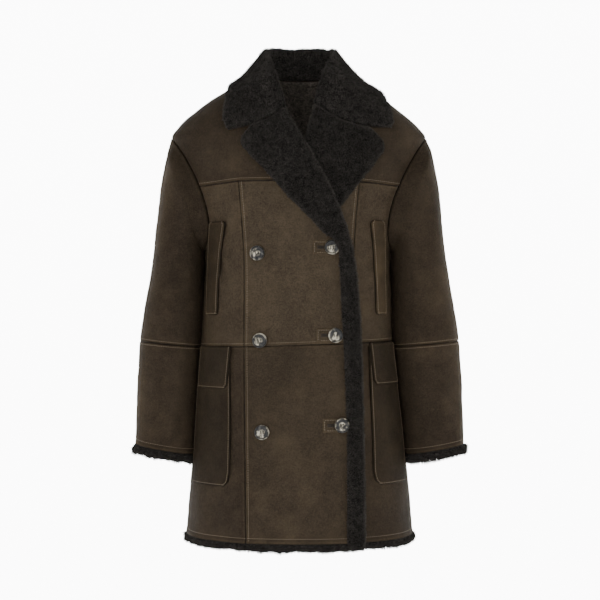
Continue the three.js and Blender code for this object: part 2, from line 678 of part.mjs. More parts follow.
function collar() {
  const sections = steps((COLLAR_STATIONS.length - 1) * COLLAR_STEPS)
    .map((share) => collarSection(share * (COLLAR_STATIONS.length - 1)));
  const across = sections[0].length;
  const vertices = sections.flat();
  const faces = [];
  for (let i = 0; i < sections.length - 1; i += 1) {
    for (let j = 0; j < across; j += 1) {
      const k = (j + 1) % across;
      faces.push([i * across + j, i * across + k, (i + 1) * across + k]);
      faces.push([i * across + j, (i + 1) * across + k, (i + 1) * across + j]);
    }
  }
  // Each end is closed by strips between the top and the underside
  const fallCount = COLLAR_FALL.length;
  const topCount = across - fallCount - 1;
  const close = (base, flip) => {
    const put = (a, b, c) => {
      const [second, third] = flip ? [c, b] : [b, c];
      faces.push([base + a, base + second, base + third]);
    };
    const root = across - 1;
    for (let j = 0; j < topCount - fallCount; j += 1) put(root, j + 1, j);
    for (let k = 0; k < fallCount - 1; k += 1) {
      const topAt = topCount - fallCount + k;
      const lowAt = root - 1 - k;
      put(topAt, lowAt, topAt + 1);
      put(topAt + 1, lowAt, lowAt - 1);
    }
    put(root, root - 1, topCount - fallCount);
  };
  close(0, false);
  close((sections.length - 1) * across, true);
  return closedSolid(vertices, faces);
}
const collarSolid = trimmed(collar(), [beds.rightYoke, beds.leftYoke, beds.back_upper]);
addPiece('collar', FLEECE, collarSolid);
const collarBeds = [[0, 0, -1], [0, -1, -0.3], [0, 1, -0.3], [-1, 0, -0.3], [1, 0, -0.3]]
  .map((way) => collarSolid.translate(way.map((share) => share * GORGE_GAP)));

// Pockets
const FLAT_COLUMNS = [0, 0.25, 0.5, 0.75, 1];
for (const [hand, side] of [['right', -1], ['left', 1]]) {
  const lift = side < 0 ? rightLift : noLift;
  const asRows = (rows, margin = 0) => rows.map(([z, inner, outer], i) => {
    const level = z + (i === 0 ? margin : 0) - (i === rows.length - 1 ? margin : 0);
    return [inner - side * margin, level, side * (Math.abs(outer) + margin), level];
  });
  const sideBeds = side < 0 ? rightBeds : leftBeds;
  const shape = { columns: steps(6), lift, thick: POCKET_SKIN };
  const welt = laidPiece({ ...shape, rows: asRows(CHEST_WELT[hand]) });
  const patch = laidPiece({ ...shape, rows: asRows(PATCH_POCKET[hand]) });
  const flap = laidPiece({ ...shape, rows: asRows(POCKET_FLAP[hand]), gap: 2 * LAID_GAP + POCKET_SKIN });
  const patchBed = laidPiece({
    ...shape,
    rows: asRows(PATCH_POCKET[hand], LAID_GAP),
    thick: POCKET_SKIN + LAID_GAP,
  });
  addPiece(`${hand}_chest_welt`, POCKET_LEATHER, trimmed(welt, sideBeds));
  addPiece(`${hand}_patch_pocket`, POCKET_LEATHER, trimmed(patch, sideBeds));
  addPiece(`${hand}_pocket_flap`, POCKET_LEATHER, trimmed(flap, [...sideBeds, patchBed]));
}

// Buttons, and the patches of their buttonholes
function frontPlace(x, z, out) {
  const at = (px, pz) => onBody(angleAt(px, pz), pz, rightLift(px, pz));
  const across = at(x + 4, z).sub(at(x - 4, z));
  const up = at(x, z + 4).sub(at(x, z - 4));
  const normal = across.cross(up).normalize();
  return { point: at(x, z).addScaledVector(normal, out), normal };
}

function asManifold(geometry) {
  geometry.deleteAttribute('normal');
  geometry.deleteAttribute('uv');
  const merged = mergeVertices(geometry, 1e-4);
  const corners = merged.index.array;
  const kept = [];
  for (let i = 0; i < corners.length; i += 3) {
    const [a, b, c] = corners.slice(i, i + 3);
    if (a !== b && b !== c && a !== c) kept.push(a, b, c);
  }
  return new wasm.Manifold(new wasm.Mesh({
    numProp: 3,
    vertProperties: new Float32Array(merged.attributes.position.array),
    triVerts: new Uint32Array(kept),
  }));
}

function buttonGeometry() {
  const { radius, height, bevel, holeRadius, holeOffset, sides } = BUTTON;
  const profile = [
    [0, 0],
    [radius - 1, 0],
    [radius, bevel],
    [radius, height - bevel],
    [radius - 1, height],
    [radius - BUTTON_DISH.rimWidth, height - BUTTON_DISH.rimDip],
    [BUTTON_DISH.radius, height - BUTTON_DISH.depth],
    [0, height - BUTTON_DISH.middle],
  ];
  const outline = profile.map(([r, h]) => new THREE.Vector2(r, h));
  let button = asManifold(new THREE.LatheGeometry(outline, sides));
  for (const dx of [-1, 1]) {
    for (const dz of [-1, 1]) {
      const drill = new THREE.CylinderGeometry(holeRadius, holeRadius, 3 * height, HOLE_SIDES);
      drill.translate(dx * holeOffset, 0, dz * holeOffset);
      button = button.subtract(asManifold(drill));
    }
  }
  return geometryOf(button);
}

function buttonBed(point, normal) {
  const radius = BUTTON.radius + LAID_GAP;
  const bed = new THREE.CylinderGeometry(radius, radius, 2 * BUTTON.height, BED_SIDES);
  bed.translate(0, LAID_GAP, 0);
  bed.applyQuaternion(new THREE.Quaternion().setFromUnitVectors(new THREE.Vector3(0, 1, 0), normal));
  bed.translate(...point.toArray());
  return asManifold(bed);
}

const buttonShape = buttonGeometry();
const fasteningBeds = [];
for (const hand of ['right', 'left']) {
  const patched = hand === 'left';
  BUTTON_PLACES[hand].forEach(([x, z], row) => {
    const out = LAID_GAP + (patched ? HOLE_PATCH_SKIN + LAID_GAP : 0);
    const { point, normal } = frontPlace(x, z, out);
    const button = new THREE.Mesh(buttonShape, HORN);
    button.name = `button_${hand}_${row + 1}`;
    button.position.copy(point);
    button.quaternion.setFromUnitVectors(new THREE.Vector3(0, 1, 0), normal);
    coat.add(button);
    if (patched) {
      const right = x + HOLE_PATCH.reachPastButton;
      const left = right - HOLE_PATCH.width;
      const half = HOLE_PATCH.height / 2;
      const levels = steps(3).map((share) => mix(z + half, z - half, share));
      const rows = levels.map((level) => [left, level, right, level]);
      const shape = { rows, columns: steps(4), lift: rightLift };
      const patch = laidPiece({ ...shape, thick: HOLE_PATCH_SKIN });
      addPiece(`buttonhole_patch_${row + 1}`, LEATHER, trimmed(patch, rightBeds));
      fasteningBeds.push(laidPiece({ ...shape, thick: HOLE_PATCH_SKIN + LAID_GAP }));
      fasteningBeds.push(buttonBed(point, normal));
    }
  });
}

// Lapels and the front band
const PILE_COLUMNS = [0, 0.03, 0.1, 0.24, 0.42, 0.6, 0.78, 0.91, 0.97, 1];
function overButtons(x, z) {
  const [buttonX, buttonZ] = BUTTON_PLACES.left[0];
  const away = Math.hypot(x - buttonX, z - buttonZ);
  const near = BUTTON.radius + OVER_BUTTON.near;
  const far = BUTTON.radius + OVER_BUTTON.far;
  return (BUTTON.height + HOLE_PATCH_SKIN + LAID_GAP) * (1 - smoothStep(near, far, away));
}
const lapelForms = {
  right: laidPiece({
    rows: RIGHT_LAPEL,
    columns: PILE_COLUMNS,
    lift: (x, z) => rightLift(x, z) + overButtons(x, z),
    thick: LAPEL_PILE,
    round: PILE_ROUND,
  }),
  left: laidPiece({
    rows: LEFT_LAPEL,
    columns: PILE_COLUMNS,
    lift: noLift,
    thick: LAPEL_PILE,
    round: PILE_ROUND,
  }),
};
addPiece('right_lapel', FLEECE, trimmed(lapelForms.right, [...rightBeds, ...fasteningBeds, ...collarBeds]));
addPiece('left_lapel', FLEECE, trimmed(lapelForms.left, [...leftBeds, ...rightBeds, ...collarBeds]));

export default coat;
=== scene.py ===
import math

import bpy
import numpy as np
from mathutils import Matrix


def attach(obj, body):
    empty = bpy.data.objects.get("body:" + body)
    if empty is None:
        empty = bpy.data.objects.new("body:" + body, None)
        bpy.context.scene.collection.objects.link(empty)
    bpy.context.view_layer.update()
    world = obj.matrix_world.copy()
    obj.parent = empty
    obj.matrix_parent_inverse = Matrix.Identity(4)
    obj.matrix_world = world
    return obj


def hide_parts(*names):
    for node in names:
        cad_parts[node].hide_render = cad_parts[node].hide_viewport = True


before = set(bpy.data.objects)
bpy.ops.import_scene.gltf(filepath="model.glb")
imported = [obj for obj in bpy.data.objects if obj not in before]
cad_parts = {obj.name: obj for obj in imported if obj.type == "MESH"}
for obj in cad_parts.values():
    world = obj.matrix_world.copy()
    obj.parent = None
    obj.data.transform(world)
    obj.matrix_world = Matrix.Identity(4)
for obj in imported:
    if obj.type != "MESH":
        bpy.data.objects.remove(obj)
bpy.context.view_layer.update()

# Studio. The camera looks level at the chest from 2.6 m, as the photograph does.
# The floor is a pale sweep that turns up all round, under large soft lamps.
MM = 0.001
EYE = (0.93, -2600, -370)
FIELD_AT_COAT = 1110
SENSOR = 36
FLOOR_Z = -1420
SWEEP_PROFILE = [(0, 0), (4600, 0), (5400, 60), (6200, 320), (6900, 900), (7300, 1900), (7450, 3400),
                 (7500, 7500)]
SWEEP_SIDES = 64
PAPER_COLOUR = (0.92, 0.92, 0.915, 1)
PAPER_GLOW_ON_COAT, PAPER_GLOW_SEEN = 1.3, 9.0
ROOM_LIGHT = 0.7
CHEST = (0, 0, -0.4)
# Each lamp: its place and its size in metres, and its power in watts
LAMPS = {
    "lamp_front": ((-0.7, -3.4, 1.5), (2.4, 2.0), 26),
    "lamp_left": ((-3.2, -0.9, 0.9), (1.4, 2.4), 5),
    "lamp_right": ((3.2, -0.9, 0.9), (1.4, 2.4), 5),
    "lamp_behind": ((0, 3.4, 1.8), (2.4, 1.6), 16),
}


def place_lamp(name, place, aim, size, watts):
    lamp = bpy.data.lights.new(name, "AREA")
    lamp.shape = "RECTANGLE"
    lamp.size, lamp.size_y = size
    lamp.energy = watts
    holder = bpy.data.objects.new(name, lamp)
    bpy.context.collection.objects.link(holder)
    holder.location = place
    way = np.array(aim, float) - np.array(place, float)
    flat = math.hypot(way[0], way[1])
    holder.rotation_euler = (math.atan2(flat, -way[2]), 0, math.atan2(-way[0], way[1]))


def add_object(name, vertices, faces):
    mesh = bpy.data.meshes.new(name)
    mesh.from_pydata(vertices, [], faces)
    mesh.update()
    made = bpy.data.objects.new(name, mesh)
    bpy.context.collection.objects.link(made)
    return made


camera = bpy.data.objects.new("camera", bpy.data.cameras.new("camera"))
bpy.context.collection.objects.link(camera)
camera.location = [value * MM for value in EYE]
camera.rotation_euler = (math.pi / 2, 0, 0)
camera.data.sensor_width = SENSOR
camera.data.lens = SENSOR * -EYE[1] / FIELD_AT_COAT
camera.data.clip_end = 60
bpy.context.scene.camera = camera

sweep_points = [(0, 0, FLOOR_Z * MM)]
for radius, rise in SWEEP_PROFILE[1:]:
    for k in range(SWEEP_SIDES):
        turn = 2 * math.pi * k / SWEEP_SIDES
        sweep_points.append((radius * math.cos(turn) * MM, radius * math.sin(turn) * MM,
                             (FLOOR_Z + rise) * MM))
sweep_faces = [(0, 1 + k, 1 + (k + 1) % SWEEP_SIDES) for k in range(SWEEP_SIDES)]
for ring in range(len(SWEEP_PROFILE) - 2):
    first = 1 + ring * SWEEP_SIDES
    for k in range(SWEEP_SIDES):
        after = (k + 1) % SWEEP_SIDES
        sweep_faces.append((first + k, first + SWEEP_SIDES + k, first + SWEEP_SIDES + after, first + after))
sweep = add_object("studio_sweep", sweep_points, sweep_faces)
for face in sweep.data.polygons:
    face.use_smooth = True
paper = bpy.data.materials.new("studio_paper")
paper.use_nodes = True
paper_shader = paper.node_tree.nodes["Principled BSDF"]
paper_shader.inputs["Base Color"].default_value = PAPER_COLOUR
paper_shader.inputs["Roughness"].default_value = 1
paper_shader.inputs["Emission Color"].default_value = (1, 1, 1, 1)
seen = paper.node_tree.nodes.new("ShaderNodeLightPath").outputs["Is Camera Ray"]
glow = paper.node_tree.nodes.new("ShaderNodeMapRange")
glow.inputs["To Min"].default_value = PAPER_GLOW_ON_COAT
glow.inputs["To Max"].default_value = PAPER_GLOW_SEEN
paper.node_tree.links.new(seen, glow.inputs["Value"])
paper.node_tree.links.new(glow.outputs["Result"], paper_shader.inputs["Emission Strength"])
sweep.data.materials.append(paper)

room = bpy.data.worlds.new("room")
room.use_nodes = True
room.node_tree.nodes["Background"].inputs["Color"].default_value = (1, 1, 1, 1)
room.node_tree.nodes["Background"].inputs["Strength"].default_value = ROOM_LIGHT
bpy.context.scene.world = room
for name, (place, size, watts) in LAMPS.items():
    place_lamp(name, place, CHEST, size, watts)


# Suede skins. The body, the sleeves and the pockets are cut from one kind of sheepskin, worn suede
# side out: brown, waxed and mottled, paler where it is rubbed along seams and edges, with painted
# shadow in the seam lines. The other side is its own fleece, near black, a little paler at its tips, with
# painted highlight along folded edges.
def new_group(name, inputs, outputs):
    group = bpy.data.node_groups.new(name, "ShaderNodeTree")
    for socket, kind, value in inputs:
        made = group.interface.new_socket(socket, in_out="INPUT", socket_type=kind)
        made.default_value = value
    for socket, kind in outputs:
        group.interface.new_socket(socket, in_out="OUTPUT", socket_type=kind)
    return group, group.nodes.new("NodeGroupInput"), group.nodes.new("NodeGroupOutput")


def add_node(tree, kind, settings=(), **values):
    node = tree.nodes.new(kind)
    for setting, value in dict(settings).items():
        setattr(node, setting, value)
    for socket, value in values.items():
        node.inputs[socket.replace("_", " ")].default_value = value
    return node


def feed(tree, socket, value):
    """Gives an input another node's output, a number or a colour."""
    if isinstance(value, bpy.types.NodeSocket):
        tree.links.new(value, socket)
    elif isinstance(value, (int, float)):
        socket.default_value = value
    else:
        socket.default_value = (*value, 1)


def add_math(tree, operation, first, second, clamp=False):
    node = tree.nodes.new("ShaderNodeMath")
    node.operation = operation
    node.use_clamp = clamp
    for socket, value in zip(node.inputs, (first, second)):
        feed(tree, socket, value)
    return node.outputs[0]


def add_weighted(tree, parts):
    """The sum of some values, each times its weight."""
    total = None
    for value, weight in parts:
        share = add_math(tree, "MULTIPLY", value, weight)
        total = share if total is None else add_math(tree, "ADD", total, share)
    return total


def add_noise(tree, where, scale, detail, roughness=0.55, distortion=0.0):
    node = add_node(tree, "ShaderNodeTexNoise", Detail=detail, Roughness=roughness, Distortion=distortion)
    tree.links.new(where, node.inputs["Vector"])
    node.inputs["Scale"].default_value = scale
    return node.outputs["Fac"]


def add_ramp(tree, fac, stops):
    node = tree.nodes.new("ShaderNodeValToRGB")
    tree.links.new(fac, node.inputs["Fac"])
    ramp = node.color_ramp
    while len(ramp.elements) < len(stops):
        ramp.elements.new(0.5)
    for element, (place, colour) in zip(ramp.elements, stops):
        element.position = place
        element.color = (*colour, 1)
    return node.outputs["Color"]


# A mix node has several inputs of each name, so those for colours are reached by their place
MIX_COLOUR_SOCKETS = {"fac": 0, "first": 6, "second": 7, "result": 2}


def add_mix(tree, fac, first, second):
    node = tree.nodes.new("ShaderNodeMix")
    node.data_type = "RGBA"
    for socket, value in (("fac", fac), ("first", first), ("second", second)):
        feed(tree, node.inputs[MIX_COLOUR_SOCKETS[socket]], value)
    return node.outputs[MIX_COLOUR_SOCKETS["result"]]


# SEAM_SHADOW is painted shade: the colour laid in a thin line along each seam, where the wear value falls
# below zero.
SEAM_SHADOW = (0.0012, 0.0009, 0.0006)
SUEDE_TONES, FLEECE_TONES = (0.41, 0.59), (0.42, 0.80)
SUEDE_GRAIN, FLEECE_GRAIN = 1.1, 1.6
suede_group, given, result = new_group(
    "waxed_suede",
    [("Vector", "NodeSocketVector", (0, 0, 0)), ("Wear", "NodeSocketFloat", 0.0),
     ("Dark", "NodeSocketColor", (0, 0, 0, 1)), ("Pale", "NodeSocketColor", (0, 0, 0, 1)),
     ("Worn", "NodeSocketColor", (0, 0, 0, 1))],
    [("Color", "NodeSocketColor"), ("Roughness", "NodeSocketFloat"), ("Height", "NodeSocketFloat")])
tree, where = suede_group, given.outputs["Vector"]
hide_tone = add_noise(tree, where, 7, 4, 0.6, 0.3)
mottle = add_noise(tree, where, 55, 5, 0.62, 0.8)
blotch = add_noise(tree, where, 22, 5, 0.6, 0.5)
nap = add_noise(tree, where, 620, 3, 0.6)
grain = add_noise(tree, where, 240, 4, 0.65, 1.2)
speckle = add_noise(tree, where, 430, 2, 0.7, 0.4)
tone = add_weighted(tree, [(hide_tone, 0.16), (mottle, 0.13), (blotch, 0.12), (grain, 0.27),
                           (speckle, 0.32)])
shade = add_node(tree, "ShaderNodeMapRange", From_Min=SUEDE_TONES[0], From_Max=SUEDE_TONES[1])
tree.links.new(tone, shade.inputs["Value"])
ground = add_mix(tree, shade.outputs["Result"], given.outputs["Dark"], given.outputs["Pale"])
rubbed = add_math(tree, "MULTIPLY", given.outputs["Wear"], add_math(tree, "ADD", mottle, 0.35), clamp=True)
coloured = add_mix(tree, rubbed, ground, given.outputs["Worn"])
# Where the wear value falls below zero, the colour goes to SEAM_SHADOW: painted shadow in the seam lines.
sunk = add_math(tree, "MULTIPLY", given.outputs["Wear"], -1.0, clamp=True)
tree.links.new(add_mix(tree, sunk, coloured, SEAM_SHADOW), result.inputs["Color"])
dullness = add_math(tree, "SUBTRACT", 0.86, add_math(tree, "MULTIPLY", tone, 0.3))
tree.links.new(dullness, result.inputs["Roughness"])
relief = add_weighted(tree, [(nap, 0.35), (grain, 0.65), (mottle, 0.5)])
tree.links.new(relief, result.inputs["Height"])


def new_material(name, sheen=0.0, sheen_tint=(1, 1, 1), specular=0.5):
    made = bpy.data.materials.new(name)
    made.use_nodes = True
    shader = made.node_tree.nodes["Principled BSDF"]
    shader.inputs["Sheen Weight"].default_value = sheen
    shader.inputs["Sheen Roughness"].default_value = 0.45
    shader.inputs["Sheen Tint"].default_value = (*sheen_tint, 1)
    shader.inputs["Specular IOR Level"].default_value = specular
    where = made.node_tree.nodes.new("ShaderNodeTexCoord").outputs["Object"]
    return made, made.node_tree, shader, where


def place_group(tree, group, **values):
    node = tree.nodes.new("ShaderNodeGroup")
    node.node_tree = group
    for socket, value in values.items():
        feed(tree, node.inputs[socket], value)
    return node


def connect_finish(tree, shader, finish, height):
    tree.links.new(finish.outputs["Color"], shader.inputs["Base Color"])
    tree.links.new(finish.outputs["Roughness"], shader.inputs["Roughness"])
    bump = add_node(tree, "ShaderNodeBump", Distance=height * MM, Strength=1.0)
    tree.links.new(finish.outputs["Height"], bump.inputs["Height"])
    tree.links.new(bump.outputs["Normal"], shader.inputs["Normal"])


def suede(name, dark, pale, worn):
    made, tree, shader, where = new_material(name, sheen=0.006, sheen_tint=(1, 0.75, 0.5), specular=0.03)
    # The wear value: rubbed wear above zero, painted seam shadow below zero.
    wear_and_shadow = add_node(tree, "ShaderNodeAttribute", {"attribute_name": "wear_and_shadow"}).outputs["Fac"]
    finish = place_group(tree, suede_group, Vector=where, Wear=wear_and_shadow, Dark=dark, Pale=pale, Worn=worn)
    connect_finish(tree, shader, finish, SUEDE_GRAIN)
    return made


# Copies of the one suede at different brightness. The upper fronts and, a little darker, the lower fronts
# take paler copies: painted light from the front. The upper side fronts take a paler copy and the pockets a
# darker one.
leather = suede("brown_suede", dark=(0.0074, 0.0053, 0.0034), pale=(0.0172, 0.0126, 0.0081),
                worn=(0.050, 0.036, 0.021))
front_leather_lit = suede("front_suede_lit", dark=(0.0120, 0.0089, 0.0057), pale=(0.0285, 0.0214, 0.0138),
                      worn=(0.060, 0.044, 0.026))
lower_front_leather_lit = suede("lower_front_suede_lit", dark=(0.0094, 0.0069, 0.0044), pale=(0.0218, 0.0162, 0.0104),
                      worn=(0.055, 0.040, 0.0235))
side_leather = suede("side_suede", dark=(0.0112, 0.0082, 0.0052), pale=(0.0260, 0.0193, 0.0123),
                     worn=(0.058, 0.042, 0.0245))
pocket_leather = suede("pocket_suede", dark=(0.0054, 0.0039, 0.0024), pale=(0.0118, 0.0087, 0.0054),
                       worn=(0.038, 0.027, 0.0155))

fleece_group, given, result = new_group(
    "clipped_fleece",
    [("Vector", "NodeSocketVector", (0, 0, 0)), ("Tip", "NodeSocketFloat", 0.0),
     ("Dark", "NodeSocketColor", (0, 0, 0, 1)), ("Pale", "NodeSocketColor", (0, 0, 0, 1))],
    [("Color", "NodeSocketColor"), ("Roughness", "NodeSocketFloat"), ("Height", "NodeSocketFloat")])
tree, where = fleece_group, given.outputs["Vector"]
lock = add_noise(tree, where, 130, 4, 0.7, 1.0)
strand = add_noise(tree, where, 520, 3, 0.75)
# The tip value makes wool tips paler, and adds painted highlight along folded and cut edges.
depth = add_weighted(tree, [(lock, 0.52), (strand, 0.48), (given.outputs["Tip"], 0.16)])
shade = add_node(tree, "ShaderNodeMapRange", From_Min=FLEECE_TONES[0], From_Max=FLEECE_TONES[1])
tree.links.new(depth, shade.inputs["Value"])
tree.links.new(add_mix(tree, shade.outputs["Result"], given.outputs["Dark"], given.outputs["Pale"]),
               result.inputs["Color"])
dullness = add_math(tree, "ADD", 0.88, add_math(tree, "MULTIPLY", strand, 0.1))
tree.links.new(dullness, result.inputs["Roughness"])
tree.links.new(depth, result.inputs["Height"])


def fleece_coat(name, dark, pale):
    made, tree, shader, where = new_material(name, sheen=0.014, sheen_tint=(1, 0.93, 0.87), specular=0.02)
    # The tip attribute: paler wool tips, with painted highlight along folds and edges.
    tip = add_node(tree, "ShaderNodeAttribute", {"attribute_name": "tip"}).outputs["Fac"]
    finish = place_group(tree, fleece_group, Vector=where, Tip=tip, Dark=dark, Pale=pale)
    connect_finish(tree, shader, finish, FLEECE_GRAIN)
    return made


fleece = fleece_coat("dark_fleece", dark=(0.0018, 0.0017, 0.0016), pale=(0.0300, 0.0272, 0.0242))
inner_fleece = fleece_coat("inner_fleece", dark=(0.0135, 0.0114, 0.0094), pale=(0.079, 0.069, 0.0585))


# Body panels. Front, side front and back are flat-cut skins, sewn edge to edge over a figure's form:
# a yoke seam over the chest, a waist seam, and an upright welted seam on each front, all topstitched.
# Sizes here and below are in millimetres; angles go round the body from its left side by the front.
WALL = 6
SEAM = 0.3
LAID_GAP = 0.4
LAPEL_PILE = 8.5
NECK_Z, YOKE_Z, WAIST_Z, HEM_Z = 45, -161, -449, -795
HEM_PILE_DROP = 11
SECTION_POWER = 2.4
RIGHT, LEFT, FRONT, BACK = 1, 2, 3, 4
# Columns: z, then how far the body reaches to its right, to its left, to the front and to the back
BODY_SECTIONS = np.array([
    (45, 80, 80, 58, 72), (25, 118, 116, 66, 82), (5, 152, 150, 76, 92), (-10, 175, 170, 84, 99),
    (-25, 194, 188, 90, 105), (-40, 212, 206, 97, 110), (-55, 225, 221, 103, 115), (-72, 236, 233, 109, 120),
    (-108, 226, 225, 117, 127), (-155, 206, 205, 127, 132), (-190, 192, 189, 133, 133),
    (-226, 180, 177, 137, 132), (-261, 175, 169, 139, 130), (-338, 175, 168, 141, 128),
    (-453, 183.5, 173, 144, 126), (-533, 189.5, 181, 146, 128), (-592, 193, 189, 148, 130),
    (-650, 196, 194, 150, 132), (-690, 199.5, 199, 152, 134), (-734, 204, 204, 154, 136),
    (-806, 209, 209, 157, 139)], float)
# An oval on the side: its middle and half its height, and its reach to front and back in degrees
ARMHOLE = {"middle": -176, "half": 104, "front": 29.5, "back": 27, "power": 2.4}
# Edges and seams of the fronts as z and x: where each front turns back, and the upright welted seam
RIGHT_CREASE = np.array([
    (45, -47), (9, -36), (-19, -28), (-55, -11), (-81, 1), (-133, 27), (-168, 46), (-217, 66), (-251, 78),
    (-292, 90), (-370, 99), (-498, 104.5), (-790, 109.5)], float)
LEFT_CREASE = np.array([
    (45, 47), (9, 35), (-19, 27), (-55, 18), (-81, 10), (-133, -13), (-168, -33), (-217, -54), (-292, -76),
    (-370, -82), (-790, -84)], float)
FRONT_SEAM = np.array([(-161, 106), (-222, 100), (-300, 95), (-450, 95), (-790, 92)], float)


def on_curve(start, end, leave, arrive, span, s):
    """A smooth curve over a span, s going from 0 to 1, with the slopes that it leaves and arrives at."""
    return ((2 * s**3 - 3 * s**2 + 1) * start + (s**3 - 2 * s**2 + s) * leave * span
            + (3 * s**2 - 2 * s**3) * end + (s**3 - s**2) * arrive * span)


def slopes_of(places, values):
    """Slopes of a curve through some values, each taken from the value before to the value after."""
    last = len(places) - 1
    before, after = np.maximum(np.arange(last + 1) - 1, 0), np.minimum(np.arange(last + 1) + 1, last)
    return ((values[after] - values[before]).T / (places[after] - places[before])).T


def at_height(table, z, column=1):
    """A column of a table whose first column is z, falling, read at any z on a smooth curve."""
    heights, values = table[:, 0], table[:, column]
    z = np.clip(z, heights[-1], heights[0])
    slopes = slopes_of(heights, values)
    i = np.clip(np.searchsorted(-heights, -z, side="right") - 1, 0, len(heights) - 2)
    span = heights[i + 1] - heights[i]
    return on_curve(values[i], values[i + 1], slopes[i], slopes[i + 1], span, (z - heights[i]) / span)


def run_along(points):
    """How far along a line each of its points lies."""
    return np.concatenate([[0], np.cumsum(np.linalg.norm(np.diff(points, axis=0), axis=1))])


def smooth_step(start, end, value):
    share = np.clip((value - start) / (end - start), 0, 1)
    return share * share * (3 - 2 * share)


def body_point(angle, z):
    angle, z = np.broadcast_arrays(np.asarray(angle, float), np.asarray(z, float))
    c, s = np.cos(np.radians(angle)), np.sin(np.radians(angle))
    half = np.where(c < 0, at_height(BODY_SECTIONS, z, RIGHT), at_height(BODY_SECTIONS, z, LEFT))
    depth = np.where(s > 0, at_height(BODY_SECTIONS, z, FRONT), at_height(BODY_SECTIONS, z, BACK))
    bend = 2 / SECTION_POWER
    return np.stack([half * np.sign(c) * np.abs(c)**bend, -depth * np.sign(s) * np.abs(s)**bend, z], axis=-1)


def unit(vectors):
    return vectors / np.maximum(np.linalg.norm(vectors, axis=-1, keepdims=True), 1e-9)


def body_normal(angle, z):
    along = body_point(angle + 0.5, z) - body_point(angle - 0.5, z)
    up = body_point(angle, z + 1) - body_point(angle, z - 1)
    return unit(np.cross(up, along))


def on_body(angle, z, out):
    return body_point(angle, z) + body_normal(angle, z) * np.asarray(out)[..., None]


def angle_at(x, z):
    x, z = np.broadcast_arrays(np.asarray(x, float), np.asarray(z, float))
    half = np.where(x < 0, at_height(BODY_SECTIONS, z, RIGHT), at_height(BODY_SECTIONS, z, LEFT))
    share = np.minimum(1, np.abs(x) / half)
    return np.degrees(np.arccos(np.sign(x) * share**(SECTION_POWER / 2)))


def armhole_angle(z, widest):
    share = np.minimum(np.abs(z - ARMHOLE["middle"]) / ARMHOLE["half"], 1)
    return widest * (1 - share**ARMHOLE["power"])**(1 / ARMHOLE["power"])


def edge_of_side(z, widest):
    gap = np.degrees(np.arcsin((SEAM / 2 / at_height(BODY_SECTIONS, z, FRONT))**(SECTION_POWER / 2)))
    return np.maximum(gap, armhole_angle(z, widest) + 0.08)


def right_lift(x, z):
    """How far the right front stands out, where it laps over the left front and the left lapel."""
    lap = (WALL + LAID_GAP) * smooth_step(-150, -100, x) * smooth_step(-20, -80, z)
    crease = at_height(RIGHT_CREASE, z)
    over = smooth_step(crease - 80, crease - 30, x) * smooth_step(-45, -82, z)
    over = over * (1 - smooth_step(-228, -262, z))
    return lap + (LAPEL_PILE + 1) * over


def no_lift(x, z):
    return np.zeros(np.broadcast(x, z).shape)


def seam_rise(x, z):
    """How far the cross seams leave the level: the waist climbs to the left, the yoke dips at its ends."""
    dip = 5 * smooth_step(100, 190, np.abs(x)) * np.exp(-((z - YOKE_Z) / 30)**2)
    return 0.03 * x * np.exp(-((z - WAIST_Z) / 70)**2) - dip


def cloud(points, size, seed):
    """Smooth lumps from -1 to 1, of about the given size in millimetres."""
    cells = np.asarray(points, float) / size + seed * 17.31
    low = np.floor(cells).astype(np.int64)
    share = cells - low
    share = share * share * (3 - 2 * share)
    total = np.zeros(cells.shape[:-1])
    for corner in range(8):
        step = np.array([corner & 1, corner >> 1 & 1, corner >> 2 & 1])
        at = low + step
        mixed = (at[..., 0] * 73856093) ^ (at[..., 1] * 19349663) ^ (at[..., 2] * 83492791)
        mixed = mixed ^ (seed * 2654435)
        mixed = ((mixed ^ (mixed >> 13)) * 1274126177) & 0x7FFFFFFF
        weight = np.prod(np.where(step == 1, share, 1 - share), axis=-1)
        total += weight * ((mixed >> 7 & 0xFFFF) / 32767.5 - 1)
    return total


def lumps(points, size, seed, octaves=3):
    return sum(cloud(points, size / 2**k, seed + k) / 2**k for k in range(octaves))


# Soft creases where the filled coat takes load, on the front and mirrored to the back:
# ends as x and z, depth, and width. Negative depth is a soft ridge.
BODY_CREASES = [
    ((-172, -262), (-128, -330), 2.2, 9), ((-176, -290), (-150, -372), 1.6, 10),
    ((-150, -205), (-118, -262), 1.4, 10), ((168, -262), (126, -322), 2.0, 9),
    ((170, -296), (146, -366), 1.6, 10), ((146, -200), (116, -250), 1.3, 10),
    ((-90, -330), (-30, -352), 0.9, 12), ((-60, -392), (30, -374), 0.9, 13),
    ((20, -330), (78, -352), 0.8, 11), ((-84, -480), (-76, -640), 1.0, 13),
    ((-40, -500), (-34, -720), 1.2, 16), ((6, -480), (14, -690), 1.1, 15),
    ((46, -520), (44, -740), 1.1, 13), ((-150, -560), (-164, -720), 1.3, 15),
    ((118, -700), (126, -780), 1.1, 12), ((150, -540), (166, -700), 1.2, 14),
    ((-100, -240), (-94, -420), -0.8, 12), ((-200, -700), (-196, -786), 1.3, 12),
    ((-112, -710), (-120, -786), 1.2, 12), ((196, -706), (196, -784), 1.2, 12),
    ((-150, -60), (-190, -120), 1.4, 12), ((148, -58), (186, -118), 1.4, 12),
    ((-118, -100), (-150, -150), 1.0, 12),
]


